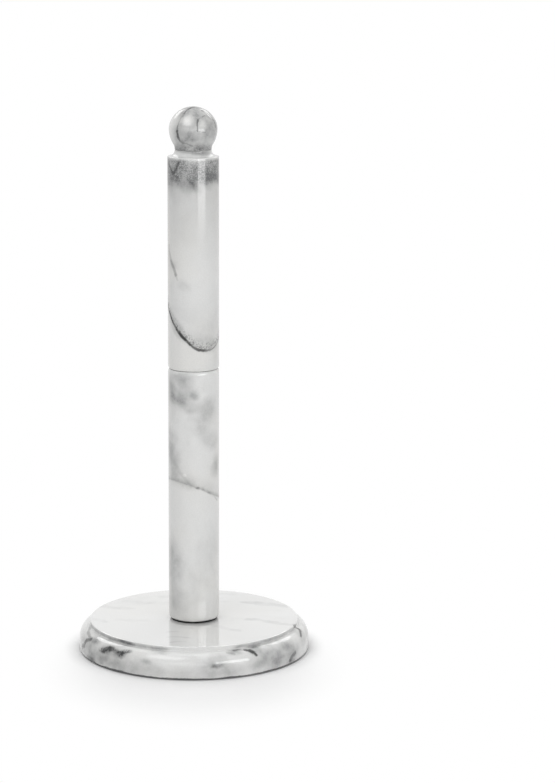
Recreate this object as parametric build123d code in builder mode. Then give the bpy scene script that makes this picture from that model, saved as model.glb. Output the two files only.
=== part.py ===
from build123d import *
import math
import os

os.makedirs("parts", exist_ok=True)

# Angles
quarter_turn = 90.0
full_turn = 360.0

# Base disc, millimetres
base_diameter = 140.0
base_thickness = 18.1
rim_width = 6.5
rim_step_height = 2.8
rim_round_height = 8.2
rim_step_edge_radius = 0.6
rim_step_cove_radius = 0.7
base_lower_edge_radius = 0.8

# Post
post_diameter = 30.8
lower_post_length = 154.65
upper_post_length = 127.7
post_foot_edge_depth = 1.3
post_foot_edge_height = 3.2
post_joint_edge_depth = 0.8
post_joint_edge_height = 2.6
post_rim_width = 1.05
post_rim_edge_radius = 0.7
post_collar_height = 0.3
post_collar_edge_radius = 0.15

# Ball finial
finial_diameter = 28.9
finial_swell = 3.4
finial_neck_height = 0.4
finial_shoulder_height = 11.75
finial_shoulder_radius = 17.0
finial_crown_height = 13.2
finial_crown_side_share = 0.83
finial_neck_edge_radius = 0.2

# Thread shared by the bolt, the studs and the inserts
thread_diameter = 8.0
thread_pitch = 1.25
post_thread_turns = 10
finial_thread_turns = 8
thread_clearance = 0.05
thread_tip_chamfer = 0.9

# Base bolt and its washers
bolt_head_sides = 6
bolt_head_across_flats = 13.0
bolt_head_height = 5.3
bolt_head_recess = 1.4
bolt_hole_clearance = 0.5
head_crown_share = 0.94
head_crown_slope = 0.58
flat_washer_diameter = 24.0
flat_washer_thickness = 2.0
spring_washer_wall = 3.3
spring_washer_thickness = 2.0
spring_washer_gap = 0.9
spring_washer_slant = 1.6
recess_wall_clearance = 1.0

# Joint washers
base_joint_washer_thickness = 0.9
base_joint_washer_setback = 1.5
joint_washer_thickness = 0.25
joint_washer_setback = 1.1
finial_washer_setback = 0.5
washer_bore_clearance = 0.5

# Inserts and bonded studs
insert_wall = 2.0
insert_spare_length = 2.5
insert_sink = 0.5
insert_flute_count = 24
insert_flute_radius = 0.4
insert_waist_depth = 0.7
insert_waist_width = 2.4
insert_mouth_chamfer = 0.5
bond_gap = 0.1
pocket_floor_gap = 1.5
middle_stud_bonded_length = 15.0
finial_stud_bonded_length = 12.0

# Foot pads
foot_count = 4
foot_diameter = 12.0
foot_thickness = 0.7
foot_inset = 18.0
foot_edge_radius = 0.3
foot_first_angle = 45.0

# Radii
base_radius = base_diameter / 2
flat_radius = base_radius - rim_width
post_radius = post_diameter / 2
finial_radius = finial_diameter / 2
neck_radius = finial_radius - finial_swell
post_cove_radius = post_radius - post_rim_width - neck_radius
thread_radius = thread_diameter / 2
insert_radius = thread_radius + thread_clearance + insert_wall
insert_pocket_radius = insert_radius + bond_gap
stud_pocket_radius = thread_radius + bond_gap
flat_washer_radius = flat_washer_diameter / 2
spring_washer_bore = thread_radius + thread_clearance * 2
spring_washer_radius = spring_washer_bore + spring_washer_wall
bolt_head_flat_radius = bolt_head_across_flats / 2
bolt_head_corner_radius = bolt_head_flat_radius / math.cos(math.pi / bolt_head_sides)
recess_radius = max(flat_washer_radius, bolt_head_corner_radius) + recess_wall_clearance
washer_bore_radius = thread_radius + washer_bore_clearance

# Lengths that follow from the thread
post_engagement = post_thread_turns * thread_pitch
finial_engagement = finial_thread_turns * thread_pitch
post_insert_length = post_engagement + insert_spare_length
finial_insert_length = finial_engagement + insert_spare_length

# Heights from the table up
base_underside = foot_thickness
base_top = base_underside + base_thickness
lower_post_bottom = base_top + base_joint_washer_thickness
lower_post_top = lower_post_bottom + lower_post_length
upper_post_bottom = lower_post_top + joint_washer_thickness
post_rim_top = upper_post_bottom + upper_post_length
post_cove_top = post_rim_top + post_cove_radius
upper_post_top = post_cove_top + post_collar_height
finial_bottom = upper_post_top + joint_washer_thickness
finial_equator = finial_bottom + finial_neck_height + finial_shoulder_height

# Heights inside the bolt recess
bolt_head_bottom = base_underside + bolt_head_recess
bolt_head_top = bolt_head_bottom + bolt_head_height
flat_washer_bottom = bolt_head_top + spring_washer_thickness
recess_top = flat_washer_bottom + flat_washer_thickness
bolt_tip = lower_post_bottom + insert_sink + post_engagement

# Heights of the studs and inserts
bottom_insert_bottom = lower_post_bottom + insert_sink
top_insert_bottom = lower_post_top - insert_sink - post_insert_length
finial_insert_bottom = upper_post_top - insert_sink - finial_insert_length
middle_stud_tip = lower_post_top - insert_sink - post_engagement
middle_stud_top = upper_post_bottom + middle_stud_bonded_length
finial_stud_tip = upper_post_top - insert_sink - finial_engagement
finial_stud_top = finial_bottom + finial_stud_bonded_length

# Depths of the pockets in the stone
post_pocket_depth = insert_sink + post_insert_length + pocket_floor_gap
finial_pocket_depth = insert_sink + finial_insert_length + pocket_floor_gap
middle_stud_pocket_depth = middle_stud_bonded_length + pocket_floor_gap
finial_stud_pocket_depth = finial_stud_bonded_length + pocket_floor_gap


def save(piece, name):
    """Label a finished piece and write its file."""
    piece.label = name
    export_step(piece, f"parts/{name}.step")


def draw_upper_edge(end_height, depth, height):
    """Draw the quarter ellipse that softens an upper end of the post, in the outline being drawn."""
    EllipticalCenterArc((post_radius - depth, end_height - height), depth, height, arc_size=quarter_turn)


def draw_lower_edge(end_height, depth, height):
    """Draw the quarter ellipse that softens a lower end of the post, in the outline being drawn."""
    EllipticalCenterArc(
        (post_radius - depth, end_height + height),
        depth,
        height,
        start_angle=-quarter_turn,
        arc_size=quarter_turn,
    )


def make_washer(bottom, thickness, outer_radius, bore_radius):
    """Make a flat ring standing on the given height."""
    with BuildPart() as washer:
        with BuildSketch(Plane.XY.offset(bottom)):
            Circle(outer_radius)
            Circle(bore_radius, mode=Mode.SUBTRACT)
        extrude(amount=thickness)
    return washer.part


def make_stud(bottom, top):
    """Make a threaded rod, drawn at its outer diameter, with both tips chamfered."""
    with BuildPart() as stud:
        with BuildSketch(Plane.XY.offset(bottom)):
            Circle(thread_radius)
        extrude(amount=top - bottom)
        chamfer(stud.edges().filter_by(GeomType.CIRCLE), length=thread_tip_chamfer)
    return stud.part


def make_insert(bottom, length):
    """Make a fluted sleeve with a waist, bored for the thread's outer diameter."""
    with BuildPart() as insert:
        with BuildSketch(Plane.XY.offset(bottom)):
            Circle(insert_radius)
            Circle(thread_radius + thread_clearance, mode=Mode.SUBTRACT)
        extrude(amount=length)
        rings = insert.edges().filter_by(GeomType.CIRCLE).group_by(SortBy.RADIUS)
        chamfer(rings[0], length=insert_mouth_chamfer)
        with BuildSketch(Plane.XY.offset(bottom)):
            with PolarLocations(insert_radius, insert_flute_count):
                Circle(insert_flute_radius)
        extrude(amount=length, mode=Mode.SUBTRACT)
        with BuildSketch(Plane.XY.offset(bottom + (length - insert_waist_width) / 2)):
            Circle(insert_radius + insert_waist_depth)
            Circle(insert_radius - insert_waist_depth, mode=Mode.SUBTRACT)
        extrude(amount=insert_waist_width, mode=Mode.SUBTRACT)
    return insert.part


# Base disc: moulded rim turned round the vertical axis, with a stepped bolt hole from below
with BuildPart() as base_disc:
    with BuildSketch(Plane.XZ) as rim_profile:
        with BuildLine():
            step_foot = base_top - rim_step_height
            side_top = step_foot - rim_round_height
            Polyline(
                (flat_radius, step_foot),
                (flat_radius, base_top),
                (0, base_top),
                (0, base_underside),
                (base_radius, base_underside),
                (base_radius, side_top),
            )
            EllipticalCenterArc((flat_radius, side_top), rim_width, rim_round_height, arc_size=quarter_turn)
        make_face()
        rim_corners = {
            (flat_radius, step_foot): rim_step_cove_radius,
            (flat_radius, base_top): rim_step_edge_radius,
            (base_radius, base_underside): base_lower_edge_radius,
        }
        for corner, corner_radius in rim_corners.items():
            fillet(rim_profile.vertices().sort_by_distance(corner)[0], corner_radius)
    revolve(axis=Axis.Z)
    with BuildSketch(Plane.XY.offset(base_underside)):
        Circle(recess_radius)
    extrude(amount=recess_top - base_underside, mode=Mode.SUBTRACT)
    with BuildSketch(Plane.XY.offset(recess_top)):
        Circle(thread_radius + bolt_hole_clearance)
    extrude(until=Until.LAST, mode=Mode.SUBTRACT)
save(base_disc.part, "base_disc")

# Foot pads, spaced evenly under the base
for foot_number in range(foot_count):
    foot_angle = foot_first_angle + foot_number * full_turn / foot_count
    with BuildPart() as foot_pad:
        with BuildSketch(Plane.XY):
            with PolarLocations(base_radius - foot_inset, 1, foot_angle):
                Circle(foot_diameter / 2)
        extrude(amount=foot_thickness)
        fillet(foot_pad.faces().sort_by(Axis.Z)[0].edges(), radius=foot_edge_radius)
    save(foot_pad.part, f"foot_pad_{foot_number + 1}")

# Base bolt: six-sided head with its corners crowned off, and a plain round shank
with BuildPart() as base_bolt:
    with BuildSketch(Plane.XY.offset(bolt_head_bottom)):
        RegularPolygon(bolt_head_flat_radius, bolt_head_sides, major_radius=False)
    extrude(amount=bolt_head_height)
    with BuildSketch(Plane.XZ):
        crown_start = bolt_head_flat_radius * head_crown_share
        crown_run = bolt_head_across_flats - crown_start
        crown_rise = crown_run * head_crown_slope
        with BuildLine():
            Polyline(
                (crown_start, bolt_head_bottom),
                (crown_start + crown_run, bolt_head_bottom),
                (crown_start + crown_run, bolt_head_bottom + crown_rise),
                close=True,
            )
        make_face()
    revolve(axis=Axis.Z, mode=Mode.SUBTRACT)
    with BuildSketch(Plane.XY.offset(bolt_head_top)):
        Circle(thread_radius)
    extrude(amount=bolt_tip - bolt_head_top)
    chamfer(base_bolt.edges().sort_by(Axis.Z)[-1], length=thread_tip_chamfer)
save(base_bolt.part, "base_bolt")

# Flat washer that spreads the bolt's load on the stone
base_flat_washer = make_washer(
    flat_washer_bottom,
    flat_washer_thickness,
    flat_washer_radius,
    washer_bore_radius,
)
save(base_flat_washer, "base_flat_washer")

# Spring washer pressed flat between the bolt head and the flat washer, with its slanted split
with BuildPart() as base_spring_washer:
    with BuildSketch(Plane.XY.offset(bolt_head_top)):
        Circle(spring_washer_radius)
        Circle(spring_washer_bore, mode=Mode.SUBTRACT)
    extrude(amount=spring_washer_thickness)
    with BuildSketch(Plane.YZ):
        with BuildLine():
            Polyline(
                (-spring_washer_gap, bolt_head_top),
                (0, bolt_head_top),
                (spring_washer_slant, flat_washer_bottom),
                (spring_washer_slant - spring_washer_gap, flat_washer_bottom),
                close=True,
            )
        make_face()
    extrude(amount=spring_washer_radius * 2, mode=Mode.SUBTRACT)
save(base_spring_washer.part, "base_spring_washer")

# Rubber washer between the base and the lower post
base_joint_washer = make_washer(
    base_top,
    base_joint_washer_thickness,
    post_radius - base_joint_washer_setback,
    washer_bore_radius,
)
save(base_joint_washer, "base_joint_washer")

# Lower post: softened ends, an insert pocket in each
with BuildPart() as lower_post:
    with BuildSketch(Plane.XZ):
        with BuildLine():
            Polyline(
                (post_radius - post_joint_edge_depth, lower_post_top),
                (0, lower_post_top),
                (0, lower_post_bottom),
                (post_radius - post_foot_edge_depth, lower_post_bottom),
            )
            draw_lower_edge(lower_post_bottom, post_foot_edge_depth, post_foot_edge_height)
            Line(
                (post_radius, lower_post_bottom + post_foot_edge_height),
                (post_radius, lower_post_top - post_joint_edge_height),
            )
            draw_upper_edge(lower_post_top, post_joint_edge_depth, post_joint_edge_height)
        make_face()
    revolve(axis=Axis.Z)
    with BuildSketch(Plane.XY.offset(lower_post_bottom)):
        Circle(insert_pocket_radius)
    extrude(amount=post_pocket_depth, mode=Mode.SUBTRACT)
    with BuildSketch(Plane.XY.offset(lower_post_top)):
        Circle(insert_pocket_radius)
    extrude(amount=-post_pocket_depth, mode=Mode.SUBTRACT)
save(lower_post.part, "lower_post")

save(make_insert(bottom_insert_bottom, post_insert_length), "lower_post_bottom_insert")
save(make_insert(top_insert_bottom, post_insert_length), "lower_post_top_insert")

# Thin washer between the two post sections
middle_joint_washer = make_washer(
    lower_post_top,
    joint_washer_thickness,
    post_radius - joint_washer_setback,
    washer_bore_radius,
)
save(middle_joint_washer, "middle_joint_washer")

# Upper post: a hollow collar that sweeps up to the ball's neck, a stud pocket below, an insert pocket above
with BuildPart() as upper_post:
    with BuildSketch(Plane.XZ) as upper_profile:
        with BuildLine():
            cove_start = neck_radius + post_cove_radius
            Polyline(
                (post_radius, upper_post_bottom + post_joint_edge_height),
                (post_radius, post_rim_top),
                (cove_start, post_rim_top),
            )
            TangentArc((cove_start, post_rim_top), (neck_radius, post_cove_top), tangent=(-1, 0))
            Polyline(
                (neck_radius, post_cove_top),
                (neck_radius, upper_post_top),
                (0, upper_post_top),
                (0, upper_post_bottom),
                (post_radius - post_joint_edge_depth, upper_post_bottom),
            )
            draw_lower_edge(upper_post_bottom, post_joint_edge_depth, post_joint_edge_height)
        make_face()
        upper_corners = {
            (post_radius, post_rim_top): post_rim_edge_radius,
            (neck_radius, upper_post_top): post_collar_edge_radius,
        }
        for corner, corner_radius in upper_corners.items():
            fillet(upper_profile.vertices().sort_by_distance(corner)[0], corner_radius)
    revolve(axis=Axis.Z)
    with BuildSketch(Plane.XY.offset(upper_post_bottom)):
        Circle(stud_pocket_radius)
    extrude(amount=middle_stud_pocket_depth, mode=Mode.SUBTRACT)
    with BuildSketch(Plane.XY.offset(upper_post_top)):
        Circle(insert_pocket_radius)
    extrude(amount=-finial_pocket_depth, mode=Mode.SUBTRACT)
save(upper_post.part, "upper_post")

save(make_stud(middle_stud_tip, middle_stud_top), "middle_stud")
save(make_insert(finial_insert_bottom, finial_insert_length), "upper_post_top_insert")

# Thin washer between the post and the ball
finial_washer = make_washer(
    upper_post_top,
    joint_washer_thickness,
    neck_radius - finial_washer_setback,
    washer_bore_radius,
)
save(finial_washer, "finial_washer")

# Ball finial: flattened crown, round shoulder, and a hollow curve down to the neck
with BuildPart() as ball_finial:
    with BuildSketch(Plane.XZ) as ball_profile:
        with BuildLine():
            # The shoulder and the neck's hollow are two arcs that meet smoothly
            arc_radii_sum = (finial_swell ** 2 + finial_shoulder_height ** 2) / (2 * finial_swell)
            shoulder_share = finial_shoulder_radius / arc_radii_sum
            hollow_end_radius = finial_radius - shoulder_share * finial_swell
            hollow_end_height = finial_equator - shoulder_share * finial_shoulder_height
            # Above the equator a tighter side arc runs into a flatter dome centred on the axis
            side_radius = finial_crown_height * finial_crown_side_share
            side_centre = finial_radius - side_radius
            dome_squares = side_centre ** 2 + finial_crown_height ** 2 - side_radius ** 2
            dome_radius = dome_squares / (2 * (finial_crown_height - side_radius))
            side_end_share = dome_radius / (dome_radius - side_radius)
            side_end_radius = side_centre * side_end_share
            dome_centre = finial_equator + finial_crown_height - dome_radius
            side_end_height = dome_centre + (finial_equator - dome_centre) * side_end_share
            neck = Polyline(
                (0, finial_equator + finial_crown_height),
                (0, finial_bottom),
                (neck_radius, finial_bottom),
                (neck_radius, finial_bottom + finial_neck_height),
            )
            hollow = TangentArc(neck @ 1, (hollow_end_radius, hollow_end_height), tangent=(0, 1))
            TangentArc(hollow @ 1, (finial_radius, finial_equator), tangent=hollow % 1)
            side = TangentArc(
                (finial_radius, finial_equator), (side_end_radius, side_end_height), tangent=(0, 1)
            )
            TangentArc(side @ 1, neck @ 0, tangent=side % 1)
        make_face()
        foot_corner = ball_profile.vertices().sort_by_distance((neck_radius, finial_bottom))[0]
        fillet(foot_corner, finial_neck_edge_radius)
    revolve(axis=Axis.Z)
    with BuildSketch(Plane.XY.offset(finial_bottom)):
        Circle(stud_pocket_radius)
    extrude(amount=finial_stud_pocket_depth, mode=Mode.SUBTRACT)
save(ball_finial.part, "ball_finial")

save(make_stud(finial_stud_tip, finial_stud_top), "finial_stud")
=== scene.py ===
"""Dresses a turned stone kitchen-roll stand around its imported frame.

Lengths are metres in the frame's own axes: Z runs up the post, and the front faces -Y.
Places on the stone are given as a maker would chalk them: a bearing in degrees from the
front, positive to the right, and a height in millimetres above the table.
"""

import logging
import math
from collections.abc import Sequence
from dataclasses import dataclass
from enum import Enum
from functools import partial, reduce
from itertools import pairwise

import bmesh
import bpy
from mathutils import Matrix, Vector


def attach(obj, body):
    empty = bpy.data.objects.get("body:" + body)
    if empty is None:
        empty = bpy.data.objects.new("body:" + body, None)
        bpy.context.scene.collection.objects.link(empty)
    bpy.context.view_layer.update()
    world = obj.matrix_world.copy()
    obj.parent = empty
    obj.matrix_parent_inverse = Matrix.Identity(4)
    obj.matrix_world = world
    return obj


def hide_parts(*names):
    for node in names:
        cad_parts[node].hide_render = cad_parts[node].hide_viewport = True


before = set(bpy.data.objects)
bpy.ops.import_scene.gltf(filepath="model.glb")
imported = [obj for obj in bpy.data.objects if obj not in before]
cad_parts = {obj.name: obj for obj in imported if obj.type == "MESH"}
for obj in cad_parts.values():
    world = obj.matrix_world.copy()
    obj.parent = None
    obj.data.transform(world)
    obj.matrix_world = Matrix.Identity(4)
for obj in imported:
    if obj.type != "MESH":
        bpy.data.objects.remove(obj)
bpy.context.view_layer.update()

MM = 0.001
TOUCHING = 1e-7
ROUND_STEPS = 240
CRISP_ANGLE = math.radians(38.0)
NOISE_MIDDLE = 0.5

# Directions in an outline, in degrees from outward and turning up.
OUT, UP, IN, DOWN = 0.0, 90.0, 180.0, -90.0

Wire = bpy.types.NodeSocket
Feed = float | Sequence[float] | bpy.types.NodeSocket
Colour = tuple[float, float, float, float]
Pair = tuple[float, float]
Triple = tuple[float, float, float]
Outline = list[Pair]

log = logging.getLogger("roll_stand")


class Slot(Enum):
    """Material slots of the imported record."""

    STONE = "veined_stone"
    FOOT_RUBBER = "foot_rubber"
    WASHER_RUBBER = "black_rubber"
    STEEL = "plated_steel"
    BRASS = "insert_brass"
    FIBRE = "grey_fibre"


class Body(Enum):
    """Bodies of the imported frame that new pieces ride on."""

    BASE = "base"
    LOWER_POST = "lower_post"
    UPPER_POST = "upper_post"
    FINIAL = "finial"


@dataclass(frozen=True)
class Grain:
    """One noise, and how much of it counts.

    Attributes:
        scale: Blots per metre.
        detail: How many finer layers it has.
        roughness: Strength of each finer layer, from 0 to 1.
        cut: Noise values at which the result starts and ends.
        result: What it gives at each of them.
    """

    scale: float
    detail: float = 2.0
    roughness: float = 0.5
    cut: Pair = (0.0, 1.0)
    result: Pair = (0.0, 1.0)


@dataclass(frozen=True)
class Shake:
    """A push that noise gives to a place.

    Attributes:
        scale: Blots of the noise per metre.
        reach: The farthest push, in the unit given with it.
        detail: How many finer layers the noise has.
    """

    scale: float
    reach: float
    detail: float = 2.0


class Bench:
    """Lays out and wires the nodes of one shader tree."""

    def __init__(self, tree: bpy.types.NodeTree) -> None:
        """Work on the given tree."""
        self.tree = tree

    def feed(self, socket: Wire, value: Feed) -> None:
        """Wire a socket to another, or set its own value.

        Args:
            socket: The input to feed.
            value: A wire, or what the input is set to.
        """
        if isinstance(value, bpy.types.NodeSocket):
            self.tree.links.new(value, socket)
        else:
            socket.default_value = value

    def add(
        self, kind: str, feeds: dict[str | int, Feed] | None = None, **options: str | bool
    ) -> bpy.types.Node:
        """Add one node.

        Args:
            kind: The node's type after "ShaderNode".
            feeds: Values or wires by input name or place.
            **options: The node's own settings.

        Returns:
            The new node.
        """
        node = self.tree.nodes.new("ShaderNode" + kind)
        for option, choice in options.items():
            setattr(node, option, choice)
        for key, value in (feeds or {}).items():
            self.feed(node.inputs[key], value)
        return node

    def math(self, operation: str, *values: Feed) -> Wire:
        """Return the result of a Math node."""
        return self.add("Math", dict(enumerate(values)), operation=operation).outputs[0]

    def clamped(self, value: Feed) -> Wire:
        """Return a value held between 0 and 1."""
        return self.add("Clamp", {"Value": value}).outputs[0]

    def most(self, *values: Feed) -> Wire:
        """Return the largest of several values at each point."""
        return reduce(partial(self.math, "MAXIMUM"), values)

    def total(self, *values: Feed) -> Wire:
        """Return several values added up."""
        return reduce(partial(self.math, "ADD"), values)

    def product(self, *values: Feed) -> Wire:
        """Return several values multiplied."""
        return reduce(partial(self.math, "MULTIPLY"), values)

    def vector(self, operation: str, *values: Feed) -> Wire:
        """Return the vector result of a Vector Math node."""
        node = self.add("VectorMath", dict(enumerate(values)), operation=operation)
        return node.outputs["Vector"]

    def scaled(self, vector: Feed, factor: Feed) -> Wire:
        """Return a vector times a number."""
        node = self.add("VectorMath", {0: vector, "Scale": factor}, operation="SCALE")
        return node.outputs["Vector"]

    def measure(self, operation: str, *values: Feed) -> Wire:
        """Return the number that a Vector Math node measures."""
        node = self.add("VectorMath", dict(enumerate(values)), operation=operation)
        return node.outputs["Value"]

    def part(self, vector: Feed, axis: str) -> Wire:
        """Return one part of a vector."""
        return self.add("SeparateXYZ", {0: vector}).outputs[axis]

    def ease(
        self, value: Feed, low: Feed, high: Feed, start: Feed = 0.0, end: Feed = 1.0
    ) -> Wire:
        """Return a value eased from start at low to end at high."""
        feeds = {"Value": value, "From Min": low, "From Max": high, "To Min": start, "To Max": end}
        return self.add("MapRange", feeds, interpolation_type="SMOOTHSTEP").outputs["Result"]

    def blend(self, share: Feed, first: Feed, second: Feed) -> Wire:
        """Mix two colours.

        Args:
            share: How much of the second, from 0 to 1.
            first: The colour at 0.
            second: The colour at 1.

        Returns:
            The mixed colour.
        """
        node = self.add("Mix", data_type="RGBA")
        inputs = {socket.identifier: socket for socket in node.inputs}
        self.feed(inputs["Factor_Float"], share)
        self.feed(inputs["A_Color"], first)
        self.feed(inputs["B_Color"], second)
        return next(socket for socket in node.outputs if socket.identifier == "Result_Color")

    def noise(self, place: Feed, grain: Grain) -> bpy.types.Node:
        """Return a noise node."""
        settings = {"Scale": grain.scale, "Detail": grain.detail, "Roughness": grain.roughness}
        return self.add("TexNoise", {"Vector": place, **settings})

    def grain(self, place: Feed, grain: Grain) -> Wire:
        """Return the plain strength of a noise."""
        return self.noise(place, grain).outputs[0]

    def eased(
        self, place: Feed, grain: Grain, result: tuple[Feed, Feed] | None = None
    ) -> Wire:
        """Return a noise eased to its own result, or to the one given."""
        return self.ease(self.grain(place, grain), *grain.cut, *(result or grain.result))

    def shaken(self, place: Wire, shakes: Sequence[Shake], unit: float = MM) -> Wire:
        """Push a place about by noise.

        Args:
            place: The place to shake.
            shakes: The pushes, each on top of the last.
            unit: What their reaches are counted in, in metres.

        Returns:
            The shaken place.
        """
        for shake in shakes:
            noise = self.noise(place, Grain(shake.scale, shake.detail)).outputs[1]
            push = self.vector("SUBTRACT", noise, (NOISE_MIDDLE,) * 3)
            place = self.vector("ADD", place, self.scaled(push, 2.0 * shake.reach * unit))
        return place

    def own_place(self) -> Wire:
        """Return each point's place in the piece's own axes, which are the frame's."""
        return self.add("TexCoord").outputs["Object"]

    def paint(
        self, surface: bpy.types.Node, colour: Feed, roughness: Feed, height: Feed, relief: float = 1.0
    ) -> None:
        """Wire a surface shader.

        Args:
            surface: The shader.
            colour: Its colour.
            roughness: Its roughness.
            height: How far each point stands out, in metres.
            relief: How strongly that shows.
        """
        bump = self.add("Bump", {"Height": height, "Strength": relief, "Distance": 1.0})
        self.feed(surface.inputs["Base Color"], colour)
        self.feed(surface.inputs["Roughness"], roughness)
        self.feed(surface.inputs["Normal"], bump.outputs["Normal"])


def new_material(name: str) -> tuple[bpy.types.Material, Bench, bpy.types.Node]:
    """Start a material.

    Args:
        name: The material's name.

    Returns:
        The material, its bench and its surface shader.
    """
    material = bpy.data.materials.new(name)
    material.use_nodes = True
    surface = next(node for node in material.node_tree.nodes if node.type == "BSDF_PRINCIPLED")
    return material, Bench(material.node_tree), surface


def new_group(
    name: str, inputs: dict[str, str]
) -> tuple[bpy.types.NodeTree, bpy.types.Node, bpy.types.Node]:
    """Start a node group with one number as its result.

    Args:
        name: The group's name.
        inputs: Socket type of each input by name.

    Returns:
        The group with its input and output nodes.
    """
    group = bpy.data.node_groups.new(name, "ShaderNodeTree")
    for title, kind in inputs.items():
        group.interface.new_socket(name=title, in_out="INPUT", socket_type=kind)
    group.interface.new_socket(name="Mark", in_out="OUTPUT", socket_type="NodeSocketFloat")
    return group, group.nodes.new("NodeGroupInput"), group.nodes.new("NodeGroupOutput")


@dataclass(frozen=True)
class Vein:
    """A dark thread in the stone, chalked along the surface.

    Attributes:
        path: Bearing and height of each point along it.
        width: Full width in millimetres.
        darkness: From 0 to 1.
    """

    path: tuple[Pair, ...]
    width: float
    darkness: float


@dataclass(frozen=True)
class Cloud:
    """A soft grey or pale patch: a cloud in the stone, or painted shade or a painted highlight.

    Attributes:
        bearing: Degrees from the front.
        height: Millimetres above the table.
        spread: Half width and half height in millimetres.
        darkness: 0 for none and 1 for full, or below 0 for a pale patch.
    """

    bearing: float
    height: float
    spread: Pair
    darkness: float


@dataclass(frozen=True)
class Sheet:
    """A vein that crosses the whole stone as one flat sheet.

    Attributes:
        height: Where it meets the axis, in millimetres above the table.
        slope: Rise per millimetre to the right, and to the back.
        width: Full width in millimetres.
        darkness: Of the line, from 0 to 1.
        fray: How far dark specks spread upward, in millimetres.
        haze: How far its grey spreads upward, in millimetres.
        haze_darkness: Of that grey, from 0 to 1.
        pressed: Where the line is wider and darker, or thinner under a pale patch.
    """

    height: float
    slope: Pair
    width: float
    darkness: float
    fray: float
    haze: float
    haze_darkness: float
    pressed: tuple[Cloud, ...] = ()


@dataclass(frozen=True)
class Streak:
    """A soft grey streak across a flat top, laid out in plan.

    Attributes:
        start: Millimetres to the right and to the back of the axis.
        end: The same for its other end.
        width: Full width in millimetres.
        darkness: From 0 to 1.
    """

    start: Pair
    end: Pair
    width: float
    darkness: float


@dataclass(frozen=True)
class Band:
    """A dark band round a piece.

    Attributes:
        top: Upper height in millimetres.
        top_fade: How far below that it comes to its full darkness.
        bottom: Middle height of its lower edge in millimetres.
        fade: How softly that edge fades, in millimetres to each side.
        wander: How far that edge wanders, in millimetres.
        grit: Strength of its salt-and-pepper grain, from 0 to 1.
        darkness: From 0 to 1.
    """

    top: float
    top_fade: float
    bottom: float
    fade: float
    wander: float
    grit: float
    darkness: float


@dataclass(frozen=True)
class Figure:
    """Everything painted on one stone piece: its own figure, and on some pieces painted shade and
    highlights.

    Attributes:
        tone: How grey the ground is, from 0 to 1.
        streak: Stretch of the faint streaks and wandering threads along each axis.
        faint: Strength of the faint streaks, which show most at the back.
        threads: Strength of the wandering threads at the back.
        offset: Shift of the noise, so that no two pieces match.
        wander: How far the chalked threads wander, in millimetres.
        mottle: How much the grey comes and goes, from 0 to 1.
        waxed_above: Height in millimetres above which the stone is waxed to a mirror.
        veins: Chalked dark threads.
        clouds: Soft drifting patches; on the front of the base's side they are partly painted shade.
        shades: Soft patches that keep to their place; on the base and under the ball's neck many are
            painted shade, and two pale ones on the ball are painted highlights.
        blots: Ragged patches, nearly black.
        sheets: Veins that cross the stone.
        bands: Dark bands; those at the base's lower edge and the lower post's foot are painted shade.
        streaks: Soft streaks across a flat top.
    """

    tone: float
    streak: Triple
    faint: float
    threads: float
    offset: Triple
    wander: float = 1.2
    mottle: float = 0.26
    waxed_above: float | None = None
    veins: tuple[Vein, ...] = ()
    clouds: tuple[Cloud, ...] = ()
    shades: tuple[Cloud, ...] = ()
    blots: tuple[Cloud, ...] = ()
    sheets: tuple[Sheet, ...] = ()
    bands: tuple[Band, ...] = ()
    streaks: tuple[Streak, ...] = ()


class SurfacePoint:
    """Finds places on a turned outline."""

    def __init__(self, outline: Outline) -> None:
        """Keep the outline's outer side, from the bottom up."""
        self.outline = outline

    def radius(self, height: float) -> float:
        """Find the outer radius at a height.

        Args:
            height: Above the table, in metres.

        Returns:
            The radius in metres, or 0 where there is no outline.
        """
        found = 0.0
        for (r0, z0), (r1, z1) in pairwise(self.outline):
            if min(z0, z1) - TOUCHING <= height <= max(z0, z1) + TOUCHING:
                share = (height - z0) / (z1 - z0) if abs(z1 - z0) > TOUCHING else 0.0
                found = max(found, r0 + (r1 - r0) * share)
        return found

    def top(self) -> float:
        """Return the height of the highest point."""
        return max(height for _, height in self.outline)

    def __call__(self, bearing: float, height: float) -> Vector:
        """Find a chalked place.

        Args:
            bearing: Degrees from the front, positive to the right.
            height: Millimetres above the table.

        Returns:
            The place in metres.
        """
        angle = math.radians(bearing)
        radius = self.radius(height * MM)
        return Vector((radius * math.sin(angle), -radius * math.cos(angle), height * MM))


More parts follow.
